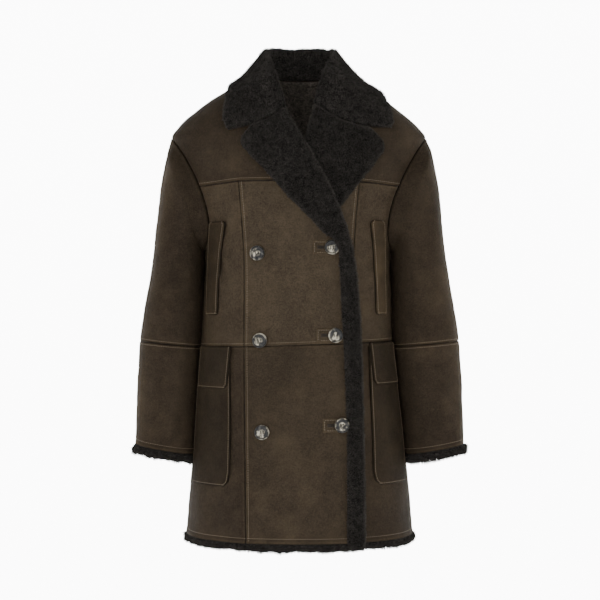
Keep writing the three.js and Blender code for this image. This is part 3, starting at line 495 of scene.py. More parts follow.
def crease_depth(points, creases):
    total = np.zeros(points.shape[:-1])
    for (x0, z0), (x1, z1), depth, width in creases:
        way = np.array([x1 - x0, z1 - z0], float)
        rel = np.stack([points[..., 0] - x0, points[..., 2] - z0], axis=-1)
        along = rel @ way / (way @ way)
        off = np.abs(rel[..., 0] * way[1] - rel[..., 1] * way[0]) / np.linalg.norm(way)
        taper = np.clip(1 - (2 * along - 1)**2, 0, 1)**0.7
        trough = np.exp(-(off / width)**2) - 0.45 * np.exp(-((off - 1.9 * width) / (0.9 * width))**2)
        total -= depth * taper * trough
    return total


# Each edge of a panel: how much the skin rolls up beside it and is drawn down into it, how far in its
# rows of topstitching run, and how much it is rubbed
SEWN_UNDER = {"rise": 0.0, "drop": 1.5, "rows": (), "rub": 0.12}
LAPPED_OVER = {"rise": 0.6, "drop": 1.5, "rows": (5.0,), "rub": 0.22}
HELD = {"rise": 0.0, "drop": 1.1, "rows": (), "rub": 0.08}
CUT_HEM = {"rise": 0.3, "drop": 0.6, "rows": (9.5,), "rub": 0.2}
# Rows of points beside an edge, as distances from it; a piece narrower than NARROW has them closer
NARROW = 32
NEAR_SEAM = np.array([0, 0.5, 1.1, 1.9, 2.9, 4.1, 5.0, 5.9, 7.4, 9.5, 12.5])
PITCH = 6.8
STITCH = {"pitch": 4.2, "length": 2.9, "radius": 0.42}
RUBBED_WIDTH = 3.4


def spread(length, count):
    """Distances from one edge to the other, close together beside both edges."""
    near = NEAR_SEAM * np.minimum(1, length / NARROW)
    middle = np.linspace(near[-1], length - near[-1], count + 2)[1:-1]
    return np.concatenate([near, middle, length - near[::-1]])


def seam_relief(distance, along, edge, seed):
    """Height of the skin beside a seam: rolled into it, puckered, and drawn down along the stitches."""
    pucker = cloud(np.stack([along, np.full_like(along, seed * 40.0), np.zeros_like(along)], -1), 9, seed)
    height = -edge["drop"] * np.exp(-(distance / 1.3)**2)
    height += edge["rise"] * np.exp(-(np.maximum(distance - 3.2, 0) / 2.4)**2)
    height += 0.38 * pucker * np.exp(-((distance - 6.0) / 5.0)**2)
    for row in edge["rows"]:
        height -= (0.55 + 0.3 * pucker) * np.exp(-((distance - row) / 1.0)**2)
    return height


def seam_wear_and_shadow(distance, edge):
    # Rubbed wear beside the seam, less the painted shadow that darkens the seam line itself.
    worn = edge["rub"] * np.exp(-((distance - 2.6) / (0.5 * RUBBED_WIDTH))**2)
    worn = worn - 0.85 * np.exp(-(distance / 0.9)**2)
    for row in edge["rows"]:
        worn = worn + 0.3 * edge["rub"] * np.exp(-((distance - row - 1.0) / 1.3)**2)
    return worn


def fill_mesh(name, points, faces, materials, material_of_face=None, flat_from=None, values=()):
    """A mesh object from points in millimetres and faces of one size, with named values for its points."""
    mesh = bpy.data.meshes.new(name)
    faces = np.ascontiguousarray(faces, np.int32)
    count, corners = faces.shape
    mesh.vertices.add(len(points))
    mesh.vertices.foreach_set("co", (np.asarray(points) * MM).astype(np.float32).ravel())
    mesh.loops.add(count * corners)
    mesh.loops.foreach_set("vertex_index", faces.ravel())
    mesh.polygons.add(count)
    mesh.polygons.foreach_set("loop_start", np.arange(count, dtype=np.int32) * corners)
    mesh.update(calc_edges=True)
    for material in materials:
        mesh.materials.append(material)
    smooth = np.ones(count, bool)
    if flat_from is not None:
        smooth[flat_from:] = False
    mesh.polygons.foreach_set("use_smooth", smooth)
    if material_of_face is not None:
        mesh.polygons.foreach_set("material_index", np.asarray(material_of_face, np.int32))
    for label, numbers in dict(values).items():
        layer = mesh.attributes.new(label, "FLOAT", "POINT")
        layer.data.foreach_set("value", np.asarray(numbers, np.float32).ravel())
    mesh.validate()
    made = bpy.data.objects.new(name, mesh)
    bpy.context.collection.objects.link(made)
    return made


def grid_faces(rows, columns, start, ring, flip=False):
    i, j = np.meshgrid(np.arange(rows - 1), np.arange(columns if ring else columns - 1), indexing="ij")
    k = (j + 1) % columns
    quads = np.stack([i * columns + j, i * columns + k, (i + 1) * columns + k, (i + 1) * columns + j], -1)
    quads = quads + start
    quads = quads.reshape(-1, 4)
    return quads[:, ::-1] if flip else quads


def outward(points, quads):
    """The faces of a closed form, turned so that they all face out."""
    a, b, c, d = (points[quads[:, k]] for k in range(4))
    volume = np.sum(np.cross(a, b) * c) + np.sum(np.cross(a, c) * d)
    return quads if volume > 0 else quads[:, ::-1]


def shell(name, outer, inner, materials, ring=False, wear_and_shadow=None):
    """A skin between two grids of points: the outer face, the inner face, and the rims that join them."""
    rows, columns = outer.shape[:2]
    count = rows * columns
    faces = [grid_faces(rows, columns, 0, ring), grid_faces(rows, columns, count, ring, flip=True)]
    sizes = [len(faces[0]), len(faces[1])]
    rims = []
    across = np.arange(columns if ring else columns - 1)
    after = (across + 1) % columns
    for row, turned in ((0, True), (rows - 1, False)):
        base = row * columns
        rim = np.stack([base + across, base + after, count + base + after, count + base + across], -1)
        rims.append(rim[:, ::-1] if turned else rim)
    if not ring:
        down = np.arange(rows - 1) * columns
        for column, turned in ((0, False), (columns - 1, True)):
            rim = np.stack([down + column, down + columns + column, count + down + columns + column,
                            count + down + column], -1)
            rims.append(rim[:, ::-1] if turned else rim)
    faces += rims
    sizes.append(sum(len(rim) for rim in rims))
    lining = min(1, len(materials) - 1)
    slots = np.repeat([0, lining, lining], sizes)
    points = np.concatenate([outer.reshape(-1, 3), inner.reshape(-1, 3)])
    # The outer face's wear value: rubbed wear above zero, painted seam shadow below zero.
    worn = np.zeros((rows, columns)) if wear_and_shadow is None else wear_and_shadow
    values = {"wear_and_shadow": np.concatenate([worn.ravel(), np.zeros(count)])}
    faces = outward(points, np.concatenate(faces))
    return fill_mesh(name, points, faces, materials, slots, sizes[0] + sizes[1], values)


def stitch_run(path, normals):
    """Topstitches along a path: short grains of thread, half sunk, with their ends drawn in."""
    run = run_along(path)
    starts = np.arange(STITCH["pitch"] / 2, run[-1] - STITCH["pitch"] / 2, STITCH["pitch"])
    if len(starts) == 0:
        return np.zeros((0, 3)), np.zeros((0, 3), int)

    def read(table, at):
        return np.stack([np.interp(at, run, table[:, k]) for k in range(3)], -1)
    middle = read(path, starts)
    up = unit(read(normals, starts))
    way = unit(read(path, starts + 0.5) - read(path, starts - 0.5))
    side = np.cross(way, up)
    half, radius = STITCH["length"] / 2, STITCH["radius"]
    points = [middle - way * half - up * radius, middle + way * half - up * radius]
    for share in (-0.45, 0.45):
        for turn in range(4):
            angle = math.pi / 4 + turn * math.pi / 2
            points.append(middle + way * half * 2 * share * 0.8
                          + (side * math.cos(angle) * 1.1 + up * math.sin(angle)) * radius)
    points = np.stack(points, 1)
    faces = []
    for turn in range(4):
        after = (turn + 1) % 4
        faces += [(0, 2 + after, 2 + turn), (1, 6 + turn, 6 + after), (2 + turn, 2 + after, 6 + after),
                  (2 + turn, 6 + after, 6 + turn)]
    faces = np.array(faces)[None] + (np.arange(len(starts)) * 10)[:, None, None]
    return points.reshape(-1, 3), faces.reshape(-1, 3)


def sewing_thread(name, specular, twist, dark, pale, dullness):
    made, tree, shader, where = new_material(name, specular=specular)
    lay = add_noise(tree, where, twist, 2)
    tree.links.new(add_ramp(tree, lay, [(0.35, dark), (0.7, pale)]), shader.inputs["Base Color"])
    dull = add_math(tree, "ADD", dullness, add_math(tree, "MULTIPLY", lay, 0.2))
    tree.links.new(dull, shader.inputs["Roughness"])
    return made


thread = sewing_thread("waxed_thread", 0.4, 2600, (0.030, 0.022, 0.012), (0.115, 0.086, 0.046), 0.5)


def finish_piece(piece, node=None):
    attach(piece, "root")
    if node:
        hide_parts(node)
    return piece


def stitching(name, runs):
    """All the topstitching of one piece, joined."""
    points, faces, start = [], [], 0
    for path, normals in runs:
        some, them = stitch_run(path, normals)
        points.append(some)
        faces.append(them + start)
        start += len(some)
    made = fill_mesh(name, np.concatenate(points), np.concatenate(faces), [thread])
    return finish_piece(made)


def arc_angles(start, end, z, count):
    """Angles from one edge of a level to the other, the given number of distances apart along the skin."""
    fine = np.linspace(start, end, 80)
    run = run_along(body_point(fine, z))
    distance = spread(run[-1], count)
    return np.interp(distance, run, fine), distance, run[-1]


def skin_relief(points, from_start, from_end, from_top, from_bottom, sewn, seed):
    """Relief of a cut skin, with its wear and the painted shadow in its seam lines: its four sewn edges, and
    the soft unevenness of the hide.
    """
    height = 0.9 * lumps(points, 75, 3, 2) + 0.35 * lumps(points, 19, 9, 2)
    height = height + crease_depth(points, BODY_CREASES)
    height *= smooth_step(0, 22, np.minimum(from_start, from_end))
    worn = np.clip(0.12 * lumps(points, 46, 21, 3), 0, 1)
    edges = (("start", from_start, 2), ("end", from_end, 2), ("top", from_top, 0), ("bottom", from_bottom, 0))
    for k, (side, distance, axis) in enumerate(edges):
        height = height + seam_relief(distance, points[..., axis], sewn[side], seed * 5 + k)
        rub = 0.8 + 0.5 * cloud(points, 26, seed + k)
        worn = worn + seam_wear_and_shadow(distance, sewn[side]) * rub
    return height, np.clip(worn, -1, 1)


def body_panel(node, top, bottom, start, end, sewn, lift=no_lift, seed=1, skin=leather):
    """A panel between two levels and two upright edges, which are given as angles at each level."""
    heights = top - spread(top - bottom, int((top - bottom) / PITCH))
    middle_count = int(max(arc_angles(start(z), end(z), z, 1)[2] for z in heights[::6]) / PITCH)
    rows = [arc_angles(start(z), end(z), z, middle_count) for z in heights]
    angle = np.array([row[0] for row in rows])
    from_start = np.array([row[1] for row in rows])
    from_end = np.array([row[2] for row in rows])[:, None] - from_start
    levels = np.repeat(heights[:, None], angle.shape[1], axis=1)
    x = body_point(angle, levels)[..., 0]
    levels = levels + seam_rise(x, levels)
    stand = lift(x, levels)
    base = on_body(angle, levels, stand)
    from_top = np.repeat((top - heights)[:, None], angle.shape[1], axis=1)
    from_bottom = (top - bottom) - from_top
    height, worn = skin_relief(base, from_start, from_end, from_top, from_bottom, sewn, seed)
    outer = on_body(angle, levels, stand + height)
    inner = on_body(angle, levels, stand - WALL + 0.8 * lumps(base, 7, 31, 2))
    piece = shell(node + "_skin", outer, inner, [skin, inner_fleece], wear_and_shadow=worn)
    finish_piece(piece, node)
    normals = body_normal(angle, levels)
    runs = []
    for side, distance in (("start", from_start), ("end", from_end)):
        for row in sewn[side]["rows"]:
            column = int(np.argmin(np.abs(distance[len(distance) // 2] - row)))
            runs.append((outer[:, column], normals[:, column]))
    for side, distance in (("top", from_top), ("bottom", from_bottom)):
        for row in sewn[side]["rows"]:
            level = int(np.argmin(np.abs(distance[:, 0] - row)))
            runs.append((outer[level], normals[level]))
    parts = [stitching(node + "_topstitch", runs)] if runs else []
    return piece


def crease_angle(table):
    return lambda z: float(angle_at(at_height(table, z), z))


def front_seam_angle(side, nudge):
    return lambda z: float(angle_at(side * (at_height(FRONT_SEAM, z) + nudge), z))


# Front and back panel overlap at the side seam, so that no light shows there: each edge in degrees
SIDE_TUCK = 0.2


def side_edge(centre, sign, widest):
    return lambda z: float(centre + sign * (edge_of_side(z, widest) - SIDE_TUCK))


HALF_SEAM = SEAM / 2
seams_of = {
    "yoke": {"top": HELD, "bottom": LAPPED_OVER},
    "upper": {"top": SEWN_UNDER, "bottom": LAPPED_OVER},
    "lower": {"top": SEWN_UNDER, "bottom": CUT_HEM},
}
levels_of = {"yoke": (NECK_Z, YOKE_Z + HALF_SEAM), "upper": (YOKE_Z - HALF_SEAM, WAIST_Z + HALF_SEAM),
             "lower": (WAIST_Z - HALF_SEAM, HEM_Z)}
right_side = side_edge(180, -1, ARMHOLE["front"])
left_side = side_edge(0, 1, ARMHOLE["front"])
body_panel("right_yoke", *levels_of["yoke"], crease_angle(RIGHT_CREASE), right_side,
           {**seams_of["yoke"], "start": HELD, "end": HELD}, right_lift, 1)
body_panel("left_yoke", *levels_of["yoke"], left_side, crease_angle(LEFT_CREASE),
           {**seams_of["yoke"], "start": HELD, "end": HELD}, seed=2)
front_skins = {"upper": front_leather_lit, "lower": lower_front_leather_lit}
side_skins = {"upper": side_leather, "lower": leather}
for seed, part in ((3, "upper"), (7, "lower")):
    levels, seams = levels_of[part], seams_of[part]
    front_skin, side_skin = front_skins[part], side_skins[part]
    body_panel(f"right_front_{part}", *levels, crease_angle(RIGHT_CREASE), front_seam_angle(-1, -HALF_SEAM),
               {**seams, "start": HELD, "end": LAPPED_OVER}, right_lift, seed, front_skin)
    body_panel(f"right_side_front_{part}", *levels, front_seam_angle(-1, HALF_SEAM), right_side,
               {**seams, "start": SEWN_UNDER, "end": HELD}, right_lift, seed + 1, side_skin)
    body_panel(f"left_front_{part}", *levels, front_seam_angle(1, -HALF_SEAM), crease_angle(LEFT_CREASE),
               {**seams, "start": LAPPED_OVER, "end": HELD}, seed=seed + 2, skin=front_skin)
    body_panel(f"left_side_front_{part}", *levels, left_side, front_seam_angle(1, HALF_SEAM),
               {**seams, "start": HELD, "end": SEWN_UNDER}, seed=seed + 3, skin=side_skin)
back_levels = {"upper": (NECK_Z, WAIST_Z + HALF_SEAM), "lower": levels_of["lower"]}
for seed, part in ((11, "upper"), (12, "lower")):
    seams = {**seams_of[part], "start": HELD, "end": HELD}
    if part == "upper":
        seams["top"] = HELD
    body_panel(f"back_{part}", *back_levels[part], side_edge(180, 1, ARMHOLE["back"]),
               side_edge(360, -1, ARMHOLE["back"]), seams, seed=seed)


# Pockets. Two big patch pockets with flaps on the lower fronts, and an upright welt pocket on each
# chest: suede skins laid on the body, turned under, and topstitched round their edges.
POCKET_SKIN, POCKET_PITCH = 3.5, 4
# The three forms below: rows of z, inner x and outer x, on the wearer's right (-1) and left (1)
INNER_COLUMN, OUTER_COLUMN = 1, 2
CHEST_WELT = {
    -1: [(-230, -133, -158), (-232, -130.5, -160.5), (-236, -129, -162), (-285, -137, -165),
         (-340, -142, -167), (-391, -144, -168), (-395, -145.5, -166.5), (-397, -148, -164)],
    1: [(-228, 130, 148), (-230, 127.2, 150.8), (-234, 125, 153), (-285, 130, 154), (-340, 133, 154),
        (-390, 135, 155), (-394, 136.5, 153.5), (-396, 139, 151)],
}
POCKET_FLAP = {
    -1: [(-453, -116, -173), (-478, -118.5, -175), (-502, -121, -177), (-519, -122.5, -178),
         (-527, -129, -178)],
    1: [(-446, 120.5, 164), (-472, 123.5, 167), (-498, 126, 170), (-512, 127.5, 172), (-520, 134, 173)],
}
PATCH_POCKET = {
    -1: [(-458, -119, -178), (-540, -118.5, -184), (-610, -118.5, -188), (-672, -119.5, -192),
         (-690, -123, -194), (-698, -133, -194)],
    1: [(-452, 121, 170), (-540, 124.5, 178), (-610, 127.5, 186), (-672, 128.5, 191), (-688, 132.5, 194),
        (-696, 143, 194)],
}
lift_of = {-1: right_lift, 1: no_lift}
hand_of = {-1: "right", 1: "left"}
# The cut of each pocket piece in metres: width, length and, in square metres, its area
POCKET_CUTS = {
    "right_chest_welt": (0.051, 0.168, 0.0079), "left_chest_welt": (0.041, 0.169, 0.0061),
    "right_patch_pocket": (0.155, 0.243, 0.0295), "left_patch_pocket": (0.133, 0.247, 0.027),
    "right_pocket_flap": (0.09, 0.076, 0.0064), "left_pocket_flap": (0.079, 0.077, 0.0058),
}


def pocket_skin(node, rows, side, gap, sewn, crowned, seed, patina=0.0):
    """A skin laid on the front, between an inner and an outer upright edge."""
    table = np.array(rows, float)
    top, bottom = table[0, 0], table[-1, 0]
    levels = top - spread(top - bottom, int((top - bottom) / POCKET_PITCH))
    width = np.abs(table[:, OUTER_COLUMN] - table[:, INNER_COLUMN]).mean()
    distance = spread(width, max(4, int(width / POCKET_PITCH)))
    share = distance / distance[-1]
    inner = np.interp(-levels, -table[:, 0], table[:, INNER_COLUMN])[:, None]
    outer_x = np.interp(-levels, -table[:, 0], table[:, OUTER_COLUMN])[:, None]
    x = inner + (outer_x - inner) * share
    z = np.repeat(levels[:, None], len(share), axis=1)
    span = np.abs(outer_x - inner)
    from_start, from_end = share * span, (1 - share) * span
    from_top, from_bottom = top - z, z - bottom
    lift = lift_of[side](x, z)
    angle = angle_at(x, z)
    base = on_body(angle, z, lift + gap)
    height, worn = skin_relief(base, from_start, from_end, from_top, from_bottom, sewn, seed)
    edge = np.minimum(np.minimum(from_start, from_end), np.minimum(from_top, from_bottom))
    height += crowned * (1 - np.exp(-edge / 14))
    outer = on_body(angle, z, lift + gap + POCKET_SKIN + height)
    under = on_body(angle, z, lift + gap - 0.2)
    piece = shell(node + "_skin", outer, under, [pocket_leather],
                  wear_and_shadow=np.clip(worn + patina * (1 + 0.5 * cloud(base, 24, seed)), -1, 1))
    finish_piece(piece, node)
    normals = body_normal(angle, z)
    runs = []
    for row in sewn["start"]["rows"]:
        column = int(np.argmin(np.abs(distance - row)))
        runs.append((outer[:, column], normals[:, column]))
        runs.append((outer[:, -1 - column], normals[:, -1 - column]))
    for row in sewn["bottom"]["rows"]:
        level = int(np.argmin(np.abs(from_bottom[:, 0] - row)))
        runs.append((outer[level], normals[level]))
    stitched = stitching(node + "_topstitch", runs)
    width, length, area = POCKET_CUTS[node]
    return piece


TURNED = {"rise": 0.3, "drop": 1.5, "rows": (2.9,), "rub": 0.14}
turned_all_round = {"start": TURNED, "end": TURNED, "top": TURNED, "bottom": TURNED}
WELT_PATINA = {-1: 0.16, 1: 0.42}
for side in (-1, 1):
    hand = hand_of[side]
    pocket_skin(f"{hand}_chest_welt", CHEST_WELT[side], side, LAID_GAP, turned_all_round, 0.8, 31 + side,
                WELT_PATINA[side])
    pocket_skin(f"{hand}_patch_pocket", PATCH_POCKET[side], side, LAID_GAP, turned_all_round, 1.4, 35 + side)
    pocket_skin(f"{hand}_pocket_flap", POCKET_FLAP[side], side, 2 * LAID_GAP + POCKET_SKIN,
                turned_all_round, 0.8, 39 + side)


# Sleeves. Each is a tube of two skins set into the oval armhole, joined by a seam at the elbow that
# is topstitched on both sides, and it hangs straight down with a slight bend.
# Rings from the armhole to the cuff. Columns: x and z of the outer side, x of the inner side on the
# wearer's right and left, its z, half the depth, and the y of the middle
SLEEVE_RINGS = np.array([
    (243, -94, 174.5, 168, -287, 86, 0), (250, -128, 174, 167.5, -297, 84, 0),
    (258, -172, 174, 167, -313, 80, -2), (264, -230, 175, 167.5, -335, 76, -4),
    (271, -298, 176, 168, -362, 73, -6), (279, -354, 175.5, 168, -394, 71, -8),
    (287, -404, 177, 168.5, -428, 70, -11), (293, -444, 179.5, 170, -455, 69, -14),
    (296, -500, 184, 176.5, -510, 64, -18), (298, -565, 188.5, 185, -580, 58, -23),
    (300, -631, 191.5, 191.5, -650, 54, -28)], float)
ELBOW_RING, SLEEVE_POWER = 7, 2.25
SLEEVE_COLUMNS = 96
# Soft creases of the sleeves, as on the body, for the wearer's left and mirrored to the right
SLEEVE_CREASES = [
    ((196, -300), (250, -352), 2.4, 8), ((200, -340), (262, -372), 1.8, 9),
    ((192, -396), (250, -420), 1.8, 9), ((206, -432), (276, -404), 1.5, 8),
    ((196, -470), (262, -488), 1.5, 9), ((210, -520), (270, -502), 1.1, 10),
    ((262, -140), (276, -320), 1.3, 11), ((216, -180), (226, -300), 1.5, 12),
    ((236, -130), (244, -240), -1.0, 11), ((232, -500), (244, -610), 1.3, 12),
    ((270, -470), (282, -600), 1.1, 11), ((208, -560), (216, -630), 1.0, 9),
]


def at_place(table, place):
    """A table read between its rows, place 1.5 being halfway from row 1 to row 2."""
    last = len(table) - 1
    i = min(last - 1, int(place))
    before, after = table[max(0, i - 1)], table[min(last, i + 2)]
    return on_curve(table[i], table[i + 1], table[i + 1] - before, after - table[i], 0.5, place - i)


sleeve_turn = 2 * np.pi * np.arange(SLEEVE_COLUMNS) / SLEEVE_COLUMNS


def superellipse(power):
    """Height and width, each from -1 to 1, round a ring that starts at its top and goes by the front."""
    return (np.sign(np.cos(sleeve_turn)) * np.abs(np.cos(sleeve_turn))**(2 / power),
            np.sign(np.sin(sleeve_turn)) * np.abs(np.sin(sleeve_turn))**(2 / power))


def armhole_ring(side):
    share, across = superellipse(ARMHOLE["power"])
    z = ARMHOLE["middle"] + share * (ARMHOLE["half"] - SEAM)
    widest = np.where(across >= 0, ARMHOLE["front"], ARMHOLE["back"])
    turn = armhole_angle(z, widest) * np.where(across >= 0, 1, -1)
    return body_point(np.where(side < 0, 180 - turn, turn), z)


def sleeve_ring(side, place):
    outer_x, outer_z, inner_right, inner_left, inner_z, half_depth, middle_y = at_place(SLEEVE_RINGS, place)
    inner_x = inner_right if side < 0 else inner_left
    share, across = superellipse(SLEEVE_POWER)
    rise = (1 + share) / 2
    return np.stack([side * (inner_x + (outer_x - inner_x) * rise), middle_y - half_depth * across,
                     inner_z + (outer_z - inner_z) * rise], -1)


def tube_normals(rings, side):
    around = np.roll(rings, -1, axis=1) - np.roll(rings, 1, axis=1)
    along = np.gradient(rings, axis=0)
    return unit(np.cross(around, along)) * side


def sleeve_rings(side):
    """Rings of the whole sleeve, the first eight leading from the armhole's oval to the sleeve's own."""
    places = np.concatenate([-1 + np.linspace(0, 1, 9), np.linspace(0, len(SLEEVE_RINGS) - 1, 101)[1:]])
    start, first = armhole_ring(side), sleeve_ring(side, 0)
    rings = [start + (first - start) * (1 + place) if place < 0 else sleeve_ring(side, place)
             for place in places]
    return places, np.array(rings)


def ring_run(rings):
    return np.concatenate([[0], np.cumsum(np.linalg.norm(np.diff(rings, axis=0), axis=-1).mean(axis=1))])


ELBOW_SEAM = {"rise": 0.3, "drop": 1.8, "rows": (4.1,), "rub": 0.1}
ARMHOLE_SEAM = {"rise": 0.4, "drop": 2.4, "rows": (), "rub": 0.03}
SEAM_ALLOWANCE = 6
# How far the sleeve stands out, in place of its creases, where it faces the body
SLEEVE_REST = 1.1
SQUARED_ROWS = 6
for side in (-1, 1):
    hand = hand_of[side]
    places, rings = sleeve_rings(side)
    run = ring_run(rings)
    elbow = float(np.interp(ELBOW_RING, places, run))
    halves = (("upper", 0, elbow, ARMHOLE_SEAM, ELBOW_SEAM),
              ("lower", elbow + SEAM, run[-1], ELBOW_SEAM, CUT_HEM))
    for part, begin, end, top_seam, bottom_seam in halves:
        distance = spread(end - begin, int((end - begin) / PITCH))
        at = begin + distance
        index = np.interp(at, run, np.arange(len(run)))
        low = np.minimum(index.astype(int), len(run) - 2)
        share = (index - low)[:, None, None]
        base = rings[low] * (1 - share) + rings[low + 1] * share
        normals = tube_normals(base, side)
        from_top = np.repeat(distance[:, None], SLEEVE_COLUMNS, axis=1)
        from_bottom = distance[-1] - from_top
        mirrored = base * np.array([side, 1, 1])
        height = lumps(base, 70, 5, 2) + 0.35 * lumps(base, 18, 11, 2)
        height = height + crease_depth(mirrored, SLEEVE_CREASES)
        if part == "upper":
            height *= smooth_step(0, 30, from_top)
        facing_body = np.clip(-normals[..., 0] * side, 0, 1)**3
        height = height * (1 - 0.8 * facing_body) + SLEEVE_REST * facing_body
        worn = np.clip(0.12 * lumps(base, 46, 23, 3), 0, 1)
        # Painted rim light: the side of each sleeve that faces away from the body is turned towards the worn
        # colour, most where it faces straight out.
        worn += 0.35 * np.clip(normals[..., 0] * side, 0, 1)**3 * (0.7 + 0.6 * cloud(base, 30, 51))
        turned = np.repeat((sleeve_turn * 55)[None], len(distance), axis=0)
        for k, (gone, seam) in enumerate(((from_top, top_seam), (from_bottom, bottom_seam))):
            height += seam_relief(gone, turned, seam, 61 + k + side)
            # Each seam adds rubbed wear beside it and painted shadow in its line.
            worn += seam_wear_and_shadow(gone, seam) * (0.8 + 0.5 * cloud(base, 26, 63 + k))
        outer = base + normals * height[..., None]
        inner = base - normals * (WALL + 0.8 * lumps(base, 7, 33, 2))[..., None]
        node = f"{hand}_sleeve_{part}"
        if part == "upper":
            middle = base[0].mean(axis=0)
            inner[0] = base[0] + unit(middle - base[0]) * WALL
            for row in range(1, SQUARED_ROWS):
                square = base[row] + unit(base[row].mean(axis=0) - base[row]) * WALL
                inner[row] = inner[row] * row / SQUARED_ROWS + square * (1 - row / SQUARED_ROWS)
            tucked = np.array([-side * SEAM_ALLOWANCE, 0, 0]) + unit(middle - base[0]) * 1.5
            outer = np.concatenate([(base[0] + tucked)[None], outer])
            inner = np.concatenate([(inner[0] + tucked)[None], inner])
            worn = np.concatenate([worn[:1], worn])
            normals = np.concatenate([normals[:1], normals])
            from_top, from_bottom = (np.concatenate([gone[:1], gone]) for gone in (from_top, from_bottom))
        piece = shell(node + "_skin", outer, inner, [leather, inner_fleece], ring=True,
                      wear_and_shadow=np.clip(worn, -1, 1))
        finish_piece(piece, node)
        levels = [int(np.argmin(np.abs(gone[:, 0] - row)))
                  for gone, seam in ((from_top, top_seam), (from_bottom, bottom_seam))
                  for row in seam["rows"]]
        closed = np.append(np.arange(SLEEVE_COLUMNS), 0)
        stitched = stitching(node + "_topstitch",
                             [(outer[level][closed], normals[level][closed]) for level in levels])


# Fleece edges. The sheepskin's own wool shows past the cut edges of the hem and the cuffs as a dark,
# uneven fringe of short locks.
CUFF_PILE_DROP, CUFF_PILE_FLARE = 14, 2.5
FRINGE_LENGTH, FRINGE_WIDTH, CUFF_LOCKS = 7.0, 2.1, 5400


def wool_locks(name, grid, normals, count, length, seed, combed=(0, 0, 0), width=1.0, ring=False,
               weight=None, paler=None, coat=fleece):
    """Short pointed locks, closed and three-sided, rooted all over a grid of points and lying in swirls."""
    rng = np.random.default_rng(seed)
    if ring:
        grid = np.concatenate([grid, grid[:, :1]], axis=1)
        normals = np.concatenate([normals, normals[:, :1]], axis=1)
    a, b, c = grid[:-1, :-1], grid[:-1, 1:], grid[1:, :-1]
    area = np.linalg.norm(np.cross(b - a, c - a), axis=-1)
    if weight is not None:
        area = area * weight[:-1, :area.shape[1]]
    chosen = np.searchsorted(np.cumsum(area) / area.sum(), rng.random(count))
    i, j = np.divmod(np.minimum(chosen, area.size - 1), area.shape[1])
    u, v = rng.random((2, count, 1))

    def between(table):
        return ((table[i, j] * (1 - v) + table[i, j + 1] * v) * (1 - u)
                + (table[i + 1, j] * (1 - v) + table[i + 1, j + 1] * v) * u)
    root, up = between(grid), unit(between(normals))
    swirl = np.stack([lumps(root, 9, seed + k, 2) for k in range(3)], -1)
    jitter = rng.normal(0, 0.32, (count, 3))
    way = unit(up + 0.75 * swirl + jitter + np.asarray(combed, float))
    way = unit(way + up * np.clip(0.25 - np.sum(way * up, axis=-1, keepdims=True), 0, None))
    side = unit(np.cross(way, np.roll(way, 1, axis=1) + 0.1))
    other = np.cross(way, side)
    reach = length * (0.65 + 0.7 * rng.random((count, 1)))
    reach = reach * (1 + 0.35 * lumps(root, 14, seed + 7, 2)[:, None])
    radius = width * (0.4 + 0.3 * rng.random((count, 1)))
    points = [root + way * reach]
    for k in range(3):
        turn = 2 * math.pi * k / 3
        points.append(root - up * 0.8 + (side * math.cos(turn) + other * math.sin(turn)) * radius)
    points = np.stack(points, 1).reshape(-1, 3)
    faces = np.array([(0, 1, 2), (0, 2, 3), (0, 3, 1), (1, 3, 2)])
    faces = faces[None] + (np.arange(count) * 4)[:, None, None]
    tip = np.zeros((count, 4))
    # Each lock's tip is paler; the paler table adds painted highlight where the wool turns over a fold or an
    # edge.
    tip[:, 0] = 1 + 0.35 * rng.normal(size=count) + (0 if paler is None else paler[i, j])
    tip[:, 1:] = 0.25 * tip[:, :1]
    made = fill_mesh(name, points, faces.reshape(-1, 3), [coat], values={"tip": tip})
    return finish_piece(made)


def fringe(node, outer, inner, normals, locks, seed, droop, ring=False):
    """The wool of a cut edge, rooted down its outer face, under it and up its inner face."""
    rim = np.stack([outer[1], outer[3], outer[-1], (outer[-1] + inner[-1]) / 2, inner[-1], inner[2]])
    down = np.array([0, 0, -1.0])
    facing = np.stack([normals[1], normals[3], unit(normals[-1] + down * 0.8), normals[-1] * 0.1 + down,
                       unit(-normals[-1] + down * 0.8), -normals[2]])
    return wool_locks(node + "_wool", rim, facing, locks, FRINGE_LENGTH, seed, combed=(0, 0, -droop),
                      width=FRINGE_WIDTH, ring=ring)


HEM_LEVELS = np.linspace(HEM_Z - SEAM, HEM_Z - HEM_PILE_DROP + 3, 5)
HEM_COLUMNS = 140
# For each strip: where it starts and ends, how the skin over it is lifted, and its count of locks
HEM_STRIPS = {
    "hem_fleece_right": (crease_angle(RIGHT_CREASE), side_edge(180, -1, 0), right_lift, 6400),
    "hem_fleece_left": (side_edge(0, 1, 0), crease_angle(LEFT_CREASE), no_lift, 5400),
    "hem_fleece_back": (side_edge(180, 1, 0), side_edge(360, -1, 0), no_lift, 6400),
}
for seed, (node, (start, end, lift, locks)) in enumerate(HEM_STRIPS.items()):
    turn = np.linspace([start(z) for z in HEM_LEVELS], [end(z) for z in HEM_LEVELS], HEM_COLUMNS,
                       axis=1)
    levels = np.repeat(HEM_LEVELS[:, None], turn.shape[1], axis=1)
    stand = lift(body_point(turn, levels)[..., 0], levels)
    base = on_body(turn, levels, stand)
    normals = body_normal(turn, levels)
    outer = on_body(turn, levels, stand - 0.8 + 0.8 * lumps(base, 6, 71 + seed, 2))
    inner = on_body(turn, levels, stand - WALL + 0.6 * lumps(base, 6, 75 + seed, 2))
    outer[-1, :, 2] += 1.8 * lumps(base[-1], 9, 79 + seed, 2)
    inner[-1, :, 2] = outer[-1, :, 2]
    strip = shell(node + "_strip", outer, inner, [fleece, fleece])
    finish_piece(strip, node)
    wool = fringe(node, outer, inner, normals, locks, 81 + seed, 0.9)

